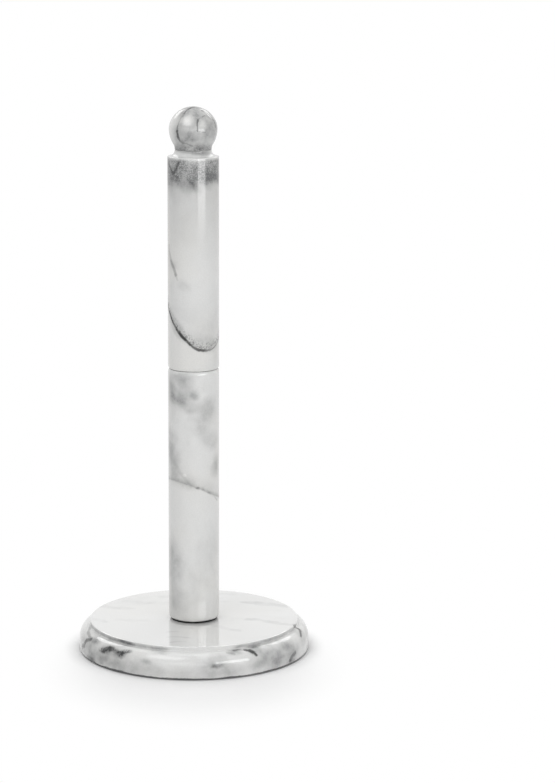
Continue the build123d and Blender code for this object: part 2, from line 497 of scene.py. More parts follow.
@dataclass(frozen=True)
class VeinedStone:
    """Polished white and grey veined stone.

    Attributes:
        milk: Colour of most of the ground.
        cream: Colour of its warmer parts.
        ash: Colour of the clouds and bands.
        charcoal: Colour of the threads.
        index: Refractive index.
        gloss: Least and most roughness of the polish.
        line_core: Share of a thread's half width that is fully dark.
        line_dullness: Roughness that the threads add.
        line_depth: How deep the threads are pitted.
        ripple_height: Height of the polish's slow ripple.
        relief: How strongly pits and ripple show.
        wax_edge: How far below its edge the wax starts.
        back_start: How far behind the axis the unchalked figure is full.
        front_streaks: Share of the faint streaks that is left in front.
        thread_width: How near the noise's middle a wandering thread lies.
        sheet_lip: Where, across a sheet, the grey over it starts and is full.
        blot_cut: Sums of blots at which they start and are fully dark.
        calm_shakes: Millimetres that shades, blots, sheets and bands are shaken.
        drift_shakes: Millimetres that clouds and streaks are shaken.
        wander_shakes: Shares of the figure's wander that threads are shaken.
        streak_shakes: Millimetres that the faint streaks are shaken.
        thread_shakes: Millimetres that the wandering threads are shaken.
        streak_grain: Noise of the faint streaks.
        thread_grain: Noise whose middle the wandering threads follow.
        thread_gaps: Where the wandering threads show.
        mottle_grain: How all soft grey comes and goes.
        speck_grain: The same, in fine specks.
        line_breaks: Where the threads thin out.
        ground_grain: Where the ground is warmer.
        crystal_grain: Sparkle of single crystals.
        gloss_grain: Where the polish is duller.
        ripple_grain: The polish's slow ripple.
        sheet_swell: How a sheet's line swells.
        sheet_specks: Specks over a sheet.
        blot_rag: How ragged the blots are.
        band_wander: How a band's lower edge wanders.
        band_grit: A band's salt and pepper.
        band_drift: How a band comes and goes.
    """

    milk: Colour = (0.665, 0.667, 0.66, 1.0)
    cream: Colour = (0.655, 0.652, 0.635, 1.0)
    ash: Colour = (0.105, 0.108, 0.11, 1.0)
    charcoal: Colour = (0.016, 0.017, 0.017, 1.0)
    index: float = 1.55
    gloss: Pair = (0.02, 0.06)
    line_core: float = 0.3
    line_dullness: float = 0.12
    line_depth: float = 0.06 * MM
    ripple_height: float = 0.02 * MM
    relief: float = 0.6
    wax_edge: float = 0.4 * MM
    back_start: float = 9.0 * MM
    front_streaks: float = 0.4
    thread_width: float = 0.018
    sheet_lip: Pair = (-0.8 * MM, 0.2 * MM)
    blot_cut: Pair = (0.1, 1.3)
    calm_shakes: tuple[Shake, ...] = (Shake(90.0, 0.8), Shake(700.0, 0.22))
    drift_shakes: tuple[Shake, ...] = (Shake(60.0, 6.0), Shake(260.0, 1.2))
    wander_shakes: tuple[Shake, ...] = (Shake(150.0, 1.0, 3.0), Shake(600.0, 0.25))
    streak_shakes: tuple[Shake, ...] = (Shake(38.0, 7.0),)
    thread_shakes: tuple[Shake, ...] = (Shake(55.0, 5.0),)
    streak_grain: Grain = Grain(42.0, 5.0, 0.55, (0.5, 0.82))
    thread_grain: Grain = Grain(24.0, 4.0, 0.55)
    thread_gaps: Grain = Grain(30.0, cut=(0.52, 0.7))
    mottle_grain: Grain = Grain(150.0, 4.0, cut=(0.28, 0.72))
    speck_grain: Grain = Grain(900.0, 3.0, 0.65, (0.25, 0.75), (0.9, 1.08))
    line_breaks: Grain = Grain(280.0, 4.0, 0.6, (0.25, 0.55), (0.6, 1.0))
    ground_grain: Grain = Grain(26.0, 3.0, cut=(0.4, 0.7))
    crystal_grain: Grain = Grain(1500.0, 2.0, 0.7, (0.3, 0.7), (0.965, 1.03))
    gloss_grain: Grain = Grain(340.0, 4.0, cut=(0.3, 0.75))
    ripple_grain: Grain = Grain(75.0)
    sheet_swell: Grain = Grain(70.0, 3.0, cut=(0.3, 0.7), result=(0.5, 1.0))
    sheet_specks: Grain = Grain(950.0, 3.0, 0.7, (0.46, 0.6))
    blot_rag: Grain = Grain(420.0, 4.0, 0.65, (0.25, 0.75), (0.55, 1.45))
    band_wander: Grain = Grain(95.0, 4.0, 0.6, (0.25, 0.75))
    band_grit: Grain = Grain(1300.0, 3.0, 0.75, (0.34, 0.66))
    band_drift: Grain = Grain(230.0, 3.0, cut=(0.28, 0.72))

    def material(self, name: str, figure: Figure, surface_point: SurfacePoint) -> bpy.types.Material:
        """Make the stone of one piece.

        Args:
            name: The material's name.
            figure: The piece's own figure.
            surface_point: Finds a place on the piece from a bearing and a height.

        Returns:
            The material.
        """
        material, bench, surface = new_material(name)
        painter = StonePainter(self, bench, figure, surface_point)
        waxed = painter.waxed()
        sheets = [painter.sheet_marks(sheet) for sheet in figure.sheets]
        grey = painter.soft_grey([haze for _, haze in sheets], waxed)
        dark = painter.dark_lines([line for line, _ in sheets])

        dullness = bench.product(dark, self.line_dullness)
        gloss = bench.total(painter.grain(self.gloss_grain, self.gloss), dullness)
        pits = bench.product(dark, -self.line_depth)
        ripple = bench.grain(painter.noise_place, self.ripple_grain)
        height = bench.total(pits, bench.product(ripple, self.ripple_height))
        bench.paint(surface, painter.colour(grey, dark), gloss, height, self.relief)
        surface.inputs["IOR"].default_value = self.index
        if waxed is not None:
            bench.feed(surface.inputs["Coat Weight"], waxed)
            surface.inputs["Coat Roughness"].default_value = min(self.gloss)
        return material


class StonePainter:
    """Paints one stone piece's figure on its bench."""

    def __init__(
        self, stone: VeinedStone, bench: Bench, figure: Figure, surface_point: SurfacePoint
    ) -> None:
        """Lay out the places that the marks are painted in.

        Args:
            stone: The finish's settings.
            bench: The material's bench.
            figure: The piece's own figure.
            surface_point: Finds a place on the piece from a bearing and a height.
        """
        self.stone = stone
        self.bench = bench
        self.figure = figure
        self.surface_point = surface_point
        self.place = bench.own_place()
        self.noise_place = bench.vector("ADD", self.place, figure.offset)
        self.calm = bench.shaken(self.place, stone.calm_shakes)
        self.drifting = bench.shaken(self.place, stone.drift_shakes)
        self.wandering = bench.shaken(self.place, stone.wander_shakes, figure.wander * MM)
        self.behind = bench.ease(bench.part(self.place, "Y"), 0.0, stone.back_start)

    def grain(self, grain: Grain, result: tuple[Feed, Feed] | None = None) -> Wire:
        """Return a noise of the piece's own, eased to its result or to the one given."""
        return self.bench.eased(self.noise_place, grain, result)

    def waxed(self) -> Wire | None:
        """Find where the stone is waxed.

        Returns:
            1 where it is waxed and 0 elsewhere, or None if it has no wax.
        """
        if self.figure.waxed_above is None:
            return None
        edge = self.figure.waxed_above * MM
        return self.bench.ease(self.bench.part(self.place, "Z"), edge - self.stone.wax_edge, edge)

    def soft_grey(self, hazes: Sequence[Wire], waxed: Wire | None) -> Wire:
        """Paint all that is soft and grey.

        Args:
            hazes: The grey over each sheet.
            waxed: 1 where the stone is waxed, which takes the patches off.

        Returns:
            How grey each point is, from 0 to 1.
        """
        bench, figure, stone = self.bench, self.figure, self.stone
        patches = [self.cloud_mark(self.drifting, cloud) for cloud in figure.clouds]
        patches += [self.cloud_mark(self.calm, shade) for shade in figure.shades]
        patched = bench.total(*patches)
        if waxed is not None:
            patched = bench.product(patched, bench.math("SUBTRACT", 1.0, waxed))
        ground = bench.total(self.faint_streaks(), figure.tone)
        streaks = [self.streak_mark(streak) for streak in figure.streaks]
        soft = bench.total(ground, patched, *streaks, *hazes)
        mottle = self.grain(stone.mottle_grain, (1.0 - figure.mottle, 1.0 + figure.mottle))
        soft = bench.product(soft, mottle, self.grain(stone.speck_grain))
        return bench.clamped(bench.total(soft, *(self.band_mark(band) for band in figure.bands)))

    def dark_lines(self, sheet_lines: Sequence[Wire]) -> Wire:
        """Paint all that is thin and dark.

        Args:
            sheet_lines: The line of each sheet.

        Returns:
            How dark each point is, from 0 to 1.
        """
        lines = [self.wandering_threads(), *sheet_lines]
        for vein in self.figure.veins:
            lines += self.vein_marks(vein)
        if self.figure.blots:
            lines.append(self.blot_mark())
        broken = self.grain(self.stone.line_breaks)
        return self.bench.clamped(self.bench.product(self.bench.most(*lines), broken))

    def colour(self, grey: Wire, dark: Wire) -> Wire:
        """Mix the stone's colour.

        Args:
            grey: How grey each point is, from 0 to 1.
            dark: How dark each point is, from 0 to 1.

        Returns:
            The colour.
        """
        stone = self.stone
        ground = self.bench.blend(self.grain(stone.ground_grain), stone.milk, stone.cream)
        clouded = self.bench.blend(grey, ground, stone.ash)
        veined = self.bench.blend(dark, clouded, stone.charcoal)
        return self.bench.vector("MULTIPLY", veined, self.grain(stone.crystal_grain))

    def stretched(self, shakes: Sequence[Shake]) -> Wire:
        """Return the noise's place, shaken and stretched along the figure's streaks."""
        shaken = self.bench.shaken(self.noise_place, shakes)
        return self.bench.vector("MULTIPLY", shaken, self.figure.streak)

    def faint_streaks(self) -> Wire:
        """Paint the faint grey streaks that run through the whole stone.

        Returns:
            How grey they make each point.
        """
        place = self.stretched(self.stone.streak_shakes)
        streaks = self.bench.eased(place, self.stone.streak_grain, (0.0, self.figure.faint))
        shown = self.bench.ease(self.behind, 0.0, 1.0, self.stone.front_streaks)
        return self.bench.product(streaks, shown)

    def wandering_threads(self) -> Wire:
        """Paint the thin dark threads that come and go through the back of the stone.

        Returns:
            How dark they make each point.
        """
        noise = self.bench.grain(self.stretched(self.stone.thread_shakes), self.stone.thread_grain)
        ridge = self.bench.math("ABSOLUTE", self.bench.math("SUBTRACT", noise, NOISE_MIDDLE))
        thread = self.bench.ease(ridge, 0.0, self.stone.thread_width, self.figure.threads, 0.0)
        return self.bench.product(thread, self.grain(self.stone.thread_gaps), self.behind)

    def group_mark(self, group: bpy.types.NodeTree, feeds: dict[str, Feed]) -> Wire:
        """Use a group once.

        Args:
            group: The group.
            feeds: Values or wires by input name.

        Returns:
            Its result.
        """
        node = self.bench.add("Group")
        node.node_tree = group
        for title, value in feeds.items():
            self.bench.feed(node.inputs[title], value)
        return node.outputs["Mark"]

    def thread_group(self) -> bpy.types.NodeTree:
        """Make the mark of a straight thread, or take the one already made.

        Returns:
            The group, whose result is darkest on the thread.
        """
        made = bpy.data.node_groups.get("stone_thread")
        if made:
            return made
        inputs = dict.fromkeys(("Place", "Start", "Run"), "NodeSocketVector")
        inputs |= dict.fromkeys(("Reach", "Darkness"), "NodeSocketFloat")
        group, given, result = new_group("stone_thread", inputs)
        bench = Bench(group)
        reach, run = given.outputs["Reach"], given.outputs["Run"]
        offset = bench.vector("SUBTRACT", given.outputs["Place"], given.outputs["Start"])
        ahead = bench.measure("DOT_PRODUCT", offset, run)
        along = bench.math("DIVIDE", ahead, bench.measure("DOT_PRODUCT", run, run))
        gap = bench.measure("DISTANCE", offset, bench.scaled(run, bench.clamped(along)))
        core = bench.product(reach, self.stone.line_core)
        mark = bench.ease(gap, core, reach, given.outputs["Darkness"], 0.0)
        bench.feed(result.inputs["Mark"], mark)
        return group

    def patch_group(self) -> bpy.types.NodeTree:
        """Make the mark of a soft patch, or take the one already made.

        Returns:
            The group, whose result is darkest in the patch's middle.
        """
        made = bpy.data.node_groups.get("stone_patch")
        if made:
            return made
        inputs = dict.fromkeys(("Place", "Middle", "Spread"), "NodeSocketVector")
        inputs["Darkness"] = "NodeSocketFloat"
        group, given, result = new_group("stone_patch", inputs)
        bench = Bench(group)
        offset = bench.vector("SUBTRACT", given.outputs["Place"], given.outputs["Middle"])
        share = bench.measure("LENGTH", bench.vector("DIVIDE", offset, given.outputs["Spread"]))
        mark = bench.ease(share, 0.0, 1.0, given.outputs["Darkness"], 0.0)
        bench.feed(result.inputs["Mark"], mark)
        return group

    def cloud_mark(self, place: Wire, cloud: Cloud) -> Wire:
        """Paint one soft patch.

        Args:
            place: The shaken place to paint it in.
            cloud: The patch.

        Returns:
            How much of it each point has.
        """
        wide, tall = cloud.spread
        feeds = {
            "Place": place,
            "Middle": self.surface_point(cloud.bearing, cloud.height),
            "Spread": (wide * MM, wide * MM, tall * MM),
            "Darkness": cloud.darkness,
        }
        return self.group_mark(self.patch_group(), feeds)

    def thread_mark(self, place: Wire, start: Vector, end: Vector, mark: Vein | Streak) -> Wire:
        """Paint one straight run of a thread or a streak.

        Args:
            place: The shaken place to paint it in.
            start: One end of the run.
            end: The other end.
            mark: The thread or streak, for its width and darkness.

        Returns:
            How much of it each point has.
        """
        feeds = {
            "Place": place,
            "Start": start,
            "Run": end - start,
            "Reach": mark.width / 2 * MM,
            "Darkness": mark.darkness,
        }
        return self.group_mark(self.thread_group(), feeds)

    def streak_mark(self, streak: Streak) -> Wire:
        """Paint one soft streak across the flat top.

        Args:
            streak: The streak.

        Returns:
            How much of it each point has.
        """
        top = self.surface_point.top()
        start, end = (Vector((x * MM, y * MM, top)) for x, y in (streak.start, streak.end))
        return self.thread_mark(self.drifting, start, end, streak)

    def vein_marks(self, vein: Vein) -> list[Wire]:
        """Return one mark for each straight run of a chalked thread."""
        points = [self.surface_point(*spot) for spot in vein.path]
        return [self.thread_mark(self.wandering, start, end, vein) for start, end in pairwise(points)]

    def sheet_marks(self, sheet: Sheet) -> tuple[Wire, Wire]:
        """Paint a crossing sheet.

        Args:
            sheet: The sheet to paint.

        Returns:
            Its dark line with the specks over it, and the grey above it.
        """
        bench, stone = self.bench, self.stone
        to_right, to_back = sheet.slope
        up = Vector((-to_right, -to_back, 1.0))
        rise = bench.measure("DOT_PRODUCT", self.calm, up)
        gap = bench.math("DIVIDE", bench.math("SUBTRACT", rise, sheet.height * MM), up.length)
        above = bench.ease(gap, *stone.sheet_lip)
        pressed = [self.cloud_mark(self.calm, spot) for spot in sheet.pressed]
        press = bench.total(self.grain(stone.sheet_swell), *pressed)
        reach = bench.product(press, sheet.width / 2 * MM)
        core = bench.product(reach, stone.line_core)
        strength = bench.clamped(bench.product(press, sheet.darkness))
        line = bench.ease(bench.math("ABSOLUTE", gap), core, reach, strength, 0.0)
        thinning = bench.ease(gap, 0.0, sheet.fray * MM, 1.0, 0.0)
        specks = bench.product(self.grain(stone.sheet_specks, (0.0, strength)), thinning, above)
        rising = bench.ease(gap, 0.0, sheet.haze * MM, sheet.haze_darkness, 0.0)
        return bench.most(line, specks), bench.product(rising, above)

    def blot_mark(self) -> Wire:
        """Paint the ragged patches.

        Returns:
            How dark they make each point.
        """
        blots = self.bench.total(*(self.cloud_mark(self.calm, blot) for blot in self.figure.blots))
        ragged = self.bench.product(blots, self.grain(self.stone.blot_rag))
        return self.bench.ease(ragged, *self.stone.blot_cut)

    def band_mark(self, band: Band) -> Wire:
        """Paint a dark band whose lower edge fades and wanders.

        Args:
            band: The band.

        Returns:
            How grey it makes each point.
        """
        bench, stone = self.bench, self.stone
        height = bench.part(self.calm, "Z")
        wander = self.grain(stone.band_wander, (-band.wander * MM, band.wander * MM))
        low, high = (band.bottom - band.fade) * MM, (band.bottom + band.fade) * MM
        over_bottom = bench.ease(bench.total(height, wander), low, high)
        under_top = bench.ease(height, (band.top - band.top_fade) * MM, band.top * MM, 1.0, 0.0)
        grit = self.grain(stone.band_grit, (1.0 - band.grit, 1.0 + band.grit))
        drift = self.grain(stone.band_drift, (1.0 - band.grit / 2, 1.0 + band.grit / 2))
        return bench.product(over_bottom, under_top, grit, drift, band.darkness)


@dataclass(frozen=True)
class Metal:
    """Metal that a tool has marked and the air has dulled in clouds.

    Attributes:
        name: The material's name.
        bright: Colour of the fresh face.
        dull: Colour where it is clouded.
        dulling: Noise of the clouds.
        marks: Noise of the tool's marks, which gives the roughness.
        stretch: Of the marks along each axis.
        depth: Of the marks.
    """

    name: str
    bright: Colour
    dull: Colour
    dulling: Grain
    marks: Grain
    stretch: Triple
    depth: float

    def material(self) -> bpy.types.Material:
        """Make the finish.

        Returns:
            The material.
        """
        material, bench, surface = new_material(self.name)
        place = bench.own_place()
        colour = bench.blend(bench.eased(place, self.dulling), self.bright, self.dull)
        marks = bench.grain(bench.vector("MULTIPLY", place, self.stretch), self.marks)
        roughness = bench.ease(marks, *self.marks.cut, *self.marks.result)
        bench.paint(surface, colour, roughness, bench.product(marks, self.depth))
        surface.inputs["Metallic"].default_value = 1.0
        return material


@dataclass(frozen=True)
class Rubber:
    """Dark rubber, moulded or cut from sheet.

    Attributes:
        name: The material's name.
        fresh: Colour of clean rubber.
        dusty: Colour where dust has settled.
        pebble: Fineness of its pebbled face.
        shine: Share of the usual sheen.
        dusting: Noise of the dust.
        roughness: Where it is clean and where it is dusty.
        depth: Of the pebbles.
    """

    name: str
    fresh: Colour
    dusty: Colour
    pebble: float
    shine: float
    dusting: Grain = Grain(500.0, 5.0, 0.65, (0.45, 0.8))
    roughness: Pair = (0.58, 0.82)
    depth: float = 0.05 * MM

    def material(self) -> bpy.types.Material:
        """Make the finish.

        Returns:
            The material.
        """
        material, bench, surface = new_material(self.name)
        place = bench.own_place()
        dust = bench.eased(place, self.dusting)
        colour = bench.blend(dust, self.fresh, self.dusty)
        roughness = bench.ease(dust, 0.0, 1.0, *self.roughness)
        pebbles = bench.add("TexVoronoi", {"Vector": place, "Scale": self.pebble}).outputs["Distance"]
        bench.paint(surface, colour, roughness, bench.product(pebbles, self.depth))
        surface.inputs["Specular IOR Level"].default_value = self.shine
        return material


@dataclass(frozen=True)
class PressedFibre:
    """Thin washer board, pressed from fibres.

    Attributes:
        name: The material's name.
        dark: Colour between the strands.
        fleck: Colour of the strands.
        strands: Noise of the strands.
        lays: Stretch along each axis of the strands that lie one way and the other.
        roughness: Between the strands and on them.
        depth: Of the strands.
    """

    name: str
    dark: Colour
    fleck: Colour
    strands: Grain = Grain(1500.0, 3.0, cut=(0.5, 0.72))
    lays: tuple[Triple, ...] = ((0.25, 1.6, 1.0), (1.6, 0.25, 1.0))
    roughness: Pair = (0.85, 0.68)
    depth: float = 0.04 * MM

    def material(self) -> bpy.types.Material:
        """Make the finish.

        Returns:
            The material.
        """
        material, bench, surface = new_material(self.name)
        place = bench.own_place()
        laid = [bench.grain(bench.vector("MULTIPLY", place, lay), self.strands) for lay in self.lays]
        strands = bench.ease(bench.most(*laid), *self.strands.cut)
        colour = bench.blend(strands, self.dark, self.fleck)
        roughness = bench.ease(strands, 0.0, 1.0, *self.roughness)
        bench.paint(surface, colour, roughness, bench.product(strands, self.depth))
        return material


PLATED_STEEL = Metal(
    name="plated_steel",
    bright=(0.66, 0.66, 0.64, 1.0),
    dull=(0.50, 0.51, 0.50, 1.0),
    dulling=Grain(420.0, 4.0, 0.6, (0.3, 0.7)),
    marks=Grain(1300.0, 3.0, cut=(0.25, 0.75), result=(0.24, 0.42)),
    stretch=(1.0, 1.0, 9.0),
    depth=0.02 * MM,
)
TURNED_BRASS = Metal(
    name="insert_brass",
    bright=(0.74, 0.53, 0.23, 1.0),
    dull=(0.42, 0.29, 0.12, 1.0),
    dulling=Grain(300.0, 4.0, 0.6, (0.4, 0.75)),
    marks=Grain(1200.0, 2.0, cut=(0.25, 0.75), result=(0.22, 0.38)),
    stretch=(0.15, 0.15, 6.0),
    depth=0.03 * MM,
)
FOOT_RUBBER = Rubber(
    name="foot_rubber",
    fresh=(0.028, 0.028, 0.028, 1.0),
    dusty=(0.075, 0.073, 0.07, 1.0),
    pebble=1400.0,
    shine=0.5,
)
WASHER_RUBBER = Rubber(
    name="black_rubber",
    fresh=(0.006, 0.006, 0.006, 1.0),
    dusty=(0.014, 0.014, 0.013, 1.0),
    pebble=3000.0,
    shine=0.1,
)
GREY_FIBRE = PressedFibre("grey_fibre", (0.075, 0.073, 0.07, 1.0), (0.19, 0.185, 0.175, 1.0))
PALE_FIBRE = PressedFibre("pale_fibre", (0.42, 0.42, 0.41, 1.0), (0.6, 0.6, 0.58, 1.0))


class Finishes:
    """Every finish of the stand, made once."""

    def __init__(self) -> None:
        """Make the finishes; the stone is made for each piece from its own figure."""
        self.stone = VeinedStone()
        self.steel = PLATED_STEEL.material()
        self.brass = TURNED_BRASS.material()
        self.foot_rubber = FOOT_RUBBER.material()
        self.washer_rubber = WASHER_RUBBER.material()
        self.grey_fibre = GREY_FIBRE.material()
        self.pale_fibre = PALE_FIBRE.material()


def oval(centre: Pair, radii: Pair, start: float, end: float, steps: int) -> Outline:
    """Step along part of an ellipse.

    Args:
        centre: Its radius and height in the outline.
        radii: Half its width and half its height.
        start: First angle in degrees, from outward and turning up.
        end: Last angle in degrees.
        steps: How many straight runs.

    Returns:
        The points, both ends included.
    """
    (across, up), (wide, tall) = centre, radii
    turns = [math.radians(start + (end - start) * k / steps) for k in range(steps + 1)]
    return [(across + wide * math.cos(turn), up + tall * math.sin(turn)) for turn in turns]


def arc(centre: Pair, radius: float, start: float, end: float, steps: int) -> Outline:
    """Step along part of a circle, as oval does along an ellipse."""
    return oval(centre, (radius, radius), start, end, steps)


def polar(radius: float, angle: float, height: float) -> Triple:
    """Return the place at a radius, an angle in radians from +X and a height."""
    return radius * math.cos(angle), radius * math.sin(angle), height


def finish_mesh(name: str, shape: bmesh.types.BMesh) -> bpy.types.Object:
    """Turn a worked shape into a smooth piece with crisp arrises.

    Args:
        name: The piece's name.
        shape: The worked shape, which is used up.

    Returns:
        The new piece.
    """
    bmesh.ops.recalc_face_normals(shape, faces=shape.faces)
    mesh = bpy.data.meshes.new(name)
    shape.to_mesh(mesh)
    shape.free()
    mesh.shade_smooth()
    mesh.set_sharp_from_angle(angle=CRISP_ANGLE)
    piece = bpy.data.objects.new(name, mesh)
    bpy.context.scene.collection.objects.link(piece)
    shading = piece.modifiers.new("even_shading", "WEIGHTED_NORMAL")
    shading.keep_sharp = True
    return piece


def turned(name: str, outline: Outline) -> bpy.types.Object:
    """Turn a closed outline round the post's axis.

    Args:
        name: The piece's name.
        outline: Radius and height of each corner in order; a radius of 0 lies on the axis.

    Returns:
        The new piece.
    """
    shape = bmesh.new()
    rings: list[list[bmesh.types.BMVert]] = []
    for radius, height in outline:
        count = ROUND_STEPS if radius > TOUCHING else 1
        places = [polar(radius, math.tau * k / count, height) for k in range(count)]
        rings.append([shape.verts.new(place) for place in places])
    for low, high in zip(rings, rings[1:] + rings[:1]):
        if len(low) == len(high) == 1:
            continue
        for k in range(ROUND_STEPS):
            walk = ((low, k), (low, k + 1), (high, k + 1), (high, k))
            corners = [ring[step % len(ring)] for ring, step in walk]
            shape.faces.new(list(dict.fromkeys(corners)))
    return finish_mesh(name, shape)


def joined(name: str, first: bpy.types.Object, second: bpy.types.Object) -> bpy.types.Object:
    """Weld two closed blanks into one piece.

    Args:
        name: The piece's name.
        first: A blank, used up.
        second: Another blank that overlaps it, used up.

    Returns:
        The welded piece.
    """
    first.modifiers.clear()
    second.modifiers.clear()
    weld = first.modifiers.new("weld", "BOOLEAN")
    weld.operation = "UNION"
    weld.solver = "EXACT"
    weld.object = second
    graph = bpy.context.evaluated_depsgraph_get()
    shape = bmesh.new()
    shape.from_mesh(first.evaluated_get(graph).to_mesh())
    for blank in (first, second):
        bpy.data.objects.remove(blank)
    return finish_mesh(name, shape)


def dress(
    piece: bpy.types.Object, body: Body, node: str, material: bpy.types.Material
) -> None:
    """Give a new piece its finish and put it in a node's place.

    Args:
        piece: The new piece.
        body: The body it rides on.
        node: The CAD node it stands for.
        material: The finish.
    """
    piece.data.materials.append(material)
    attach(piece, body.value)
    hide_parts(node)
    log.info("%s stands for %s, %d faces", piece.name, node, len(piece.data.polygons))


def dress_node(node: str, slot: Slot, material: bpy.types.Material) -> None:
    """Give a carried-over CAD node its finish.

    Args:
        node: The CAD node's name.
        slot: The record's material slot.
        material: The finish.
    """
    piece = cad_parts[node]
    piece.data.materials.clear()
    piece.data.materials.append(material)
    log.info("%s keeps its own shape, finish %s", node, slot.value)


@dataclass(frozen=True)
class Thread:
    """Metric thread cut on the bolt and the studs.

    Attributes:
        radius: Over the crests.
        pitch: From one crest to the next.
        depth: From crest to root.
        crest: Share of the pitch that is flat at a crest.
        flank: Share that each flank takes.
        root: Share that is flat at a root.
        tip_chamfer: Taken off each end.
        tip_share: Least share of the radius left by a chamfer.
        lead_turns: Turns cut below the lower end and then trimmed off.
        columns: Points round each turn.
    """

    radius: float = 4.0 * MM
    pitch: float = 1.25 * MM
    depth: float = 0.767 * MM
    crest: float = 0.125
    flank: float = 0.3125
    root: float = 0.25
    tip_chamfer: float = 0.9 * MM
    tip_share: float = 0.25
    lead_turns: int = 2
    columns: int = 72

    def profile(self) -> list[Pair]:
        """Lay out one turn of the thread.

        Returns:
            The share of the pitch and the depth at each corner.
        """
        root_start = self.crest + self.flank
        crests = [(0.0, 0.0), (self.crest, 0.0)]
        return crests + [(root_start, self.depth), (root_start + self.root, self.depth)]

    def rod(self, bottom: float, top: float, plain_bottom: bool = False) -> bmesh.types.BMesh:
        """Cut a right-hand thread on a rod.

        Args:
            bottom: Height of the lower end.
            top: Height of the upper end.
            plain_bottom: Leave the lower end without a chamfer.

        Returns:
            The closed shape.
        """
        profile = self.profile()
        turns = math.ceil((top - bottom) / self.pitch) + self.lead_turns + 1
        tip = self.radius - self.tip_chamfer
        shape = bmesh.new()
        grid: list[list[bmesh.types.BMVert]] = []
        for column in range(self.columns):
            share = column / self.columns
            line = []
            for turn in range(turns):
                for phase, cut in profile:
                    height = bottom + self.pitch * (turn - self.lead_turns + phase + share)
                    low_room = self.radius if plain_bottom else tip + height - bottom
                    reach = min(self.radius - cut, low_room, tip + top - height)
                    reach = max(reach, self.radius * self.tip_share)
                    line.append(shape.verts.new(polar(reach, math.tau * share, height)))
            grid.append(line)
        rows, step = turns * len(profile), len(profile)
        for column, here in enumerate(grid):
            last = column == self.columns - 1
            following, rise = (grid[0], step) if last else (grid[column + 1], 0)
            for row in range(rows - 1 - rise):
                beside = following[row + rise], following[row + rise + 1]
                shape.faces.new((here[row], *beside, here[row + 1]))
        for height, way in ((bottom, -1.0), (top, 1.0)):
            self.trim(shape, height, way)
        return shape

    @staticmethod
    def trim(shape: bmesh.types.BMesh, height: float, way: float) -> None:
        """Cut a shape off level and close it.

        Args:
            shape: The shape to trim.
            height: Where to cut.
            way: 1 to take off what is above, -1 to take off what is below.
        """
        parts = shape.verts[:] + shape.edges[:] + shape.faces[:]
        cut = bmesh.ops.bisect_plane(
            shape, geom=parts, plane_co=(0, 0, height), plane_no=(0, 0, way), clear_outer=True
        )
        rim = [edge for edge in cut["geom_cut"] if isinstance(edge, bmesh.types.BMEdge)]
        bmesh.ops.edgeloop_fill(shape, edges=rim)


@dataclass(frozen=True)
class HexBolt:
    """Bolt with a crowned six-sided head and a threaded shank.

    Attributes:
        head_bottom: Height of the head's crowned face.
        head_top: Height of its bearing face.
        flat_radius: From the axis to each of its flats.
        crown_share: Radius of the crowned face, as a share of that.
        crown_slope: Rise of the crown per length outward.
        sides: Flats round the head.
        columns: Points round the head.
        tip: Height of the shank's tip.
        thread: The shank's thread.
    """

    head_bottom: float = 2.1 * MM
    head_top: float = 7.4 * MM
    flat_radius: float = 6.5 * MM
    crown_share: float = 0.94
    crown_slope: float = 0.58
    sides: int = 6
    columns: int = 96
    tip: float = 32.7 * MM
    thread: Thread = Thread()

    def head(self) -> bmesh.types.BMesh:
        """Shape the head.

        Returns:
            The closed shape.
        """
        shape = bmesh.new()
        crown = self.flat_radius * self.crown_share
        side = math.tau / self.sides
        rings: list[list[bmesh.types.BMVert]] = [[], [], []]
        for column in range(self.columns):
            angle = math.tau * column / self.columns
            corner = self.flat_radius / math.cos(angle % side - side / 2)
            shoulder = self.head_bottom + (corner - crown) * self.crown_slope
            levels = ((crown, self.head_bottom), (corner, shoulder), (corner, self.head_top))
            for ring, (reach, height) in zip(rings, levels):
                ring.append(shape.verts.new(polar(reach, angle, height)))
        for low, high in pairwise(rings):
            for k in range(self.columns):
                n = (k + 1) % self.columns
                shape.faces.new((low[k], low[n], high[n], high[k]))
        shape.faces.new(rings[0])
        shape.faces.new(rings[-1])
        return shape

    def build(self, steel: bpy.types.Material) -> None:
        """Build and dress the bolt.

        Args:
            steel: Its finish.
        """
        head = finish_mesh("bolt_head_blank", self.head())
        sunk = self.head_top - self.thread.pitch
        rod = self.thread.rod(sunk, self.tip, plain_bottom=True)
        piece = joined("threaded_bolt", head, finish_mesh("bolt_shank_blank", rod))
        dress(piece, Body.BASE, "base_bolt", steel)


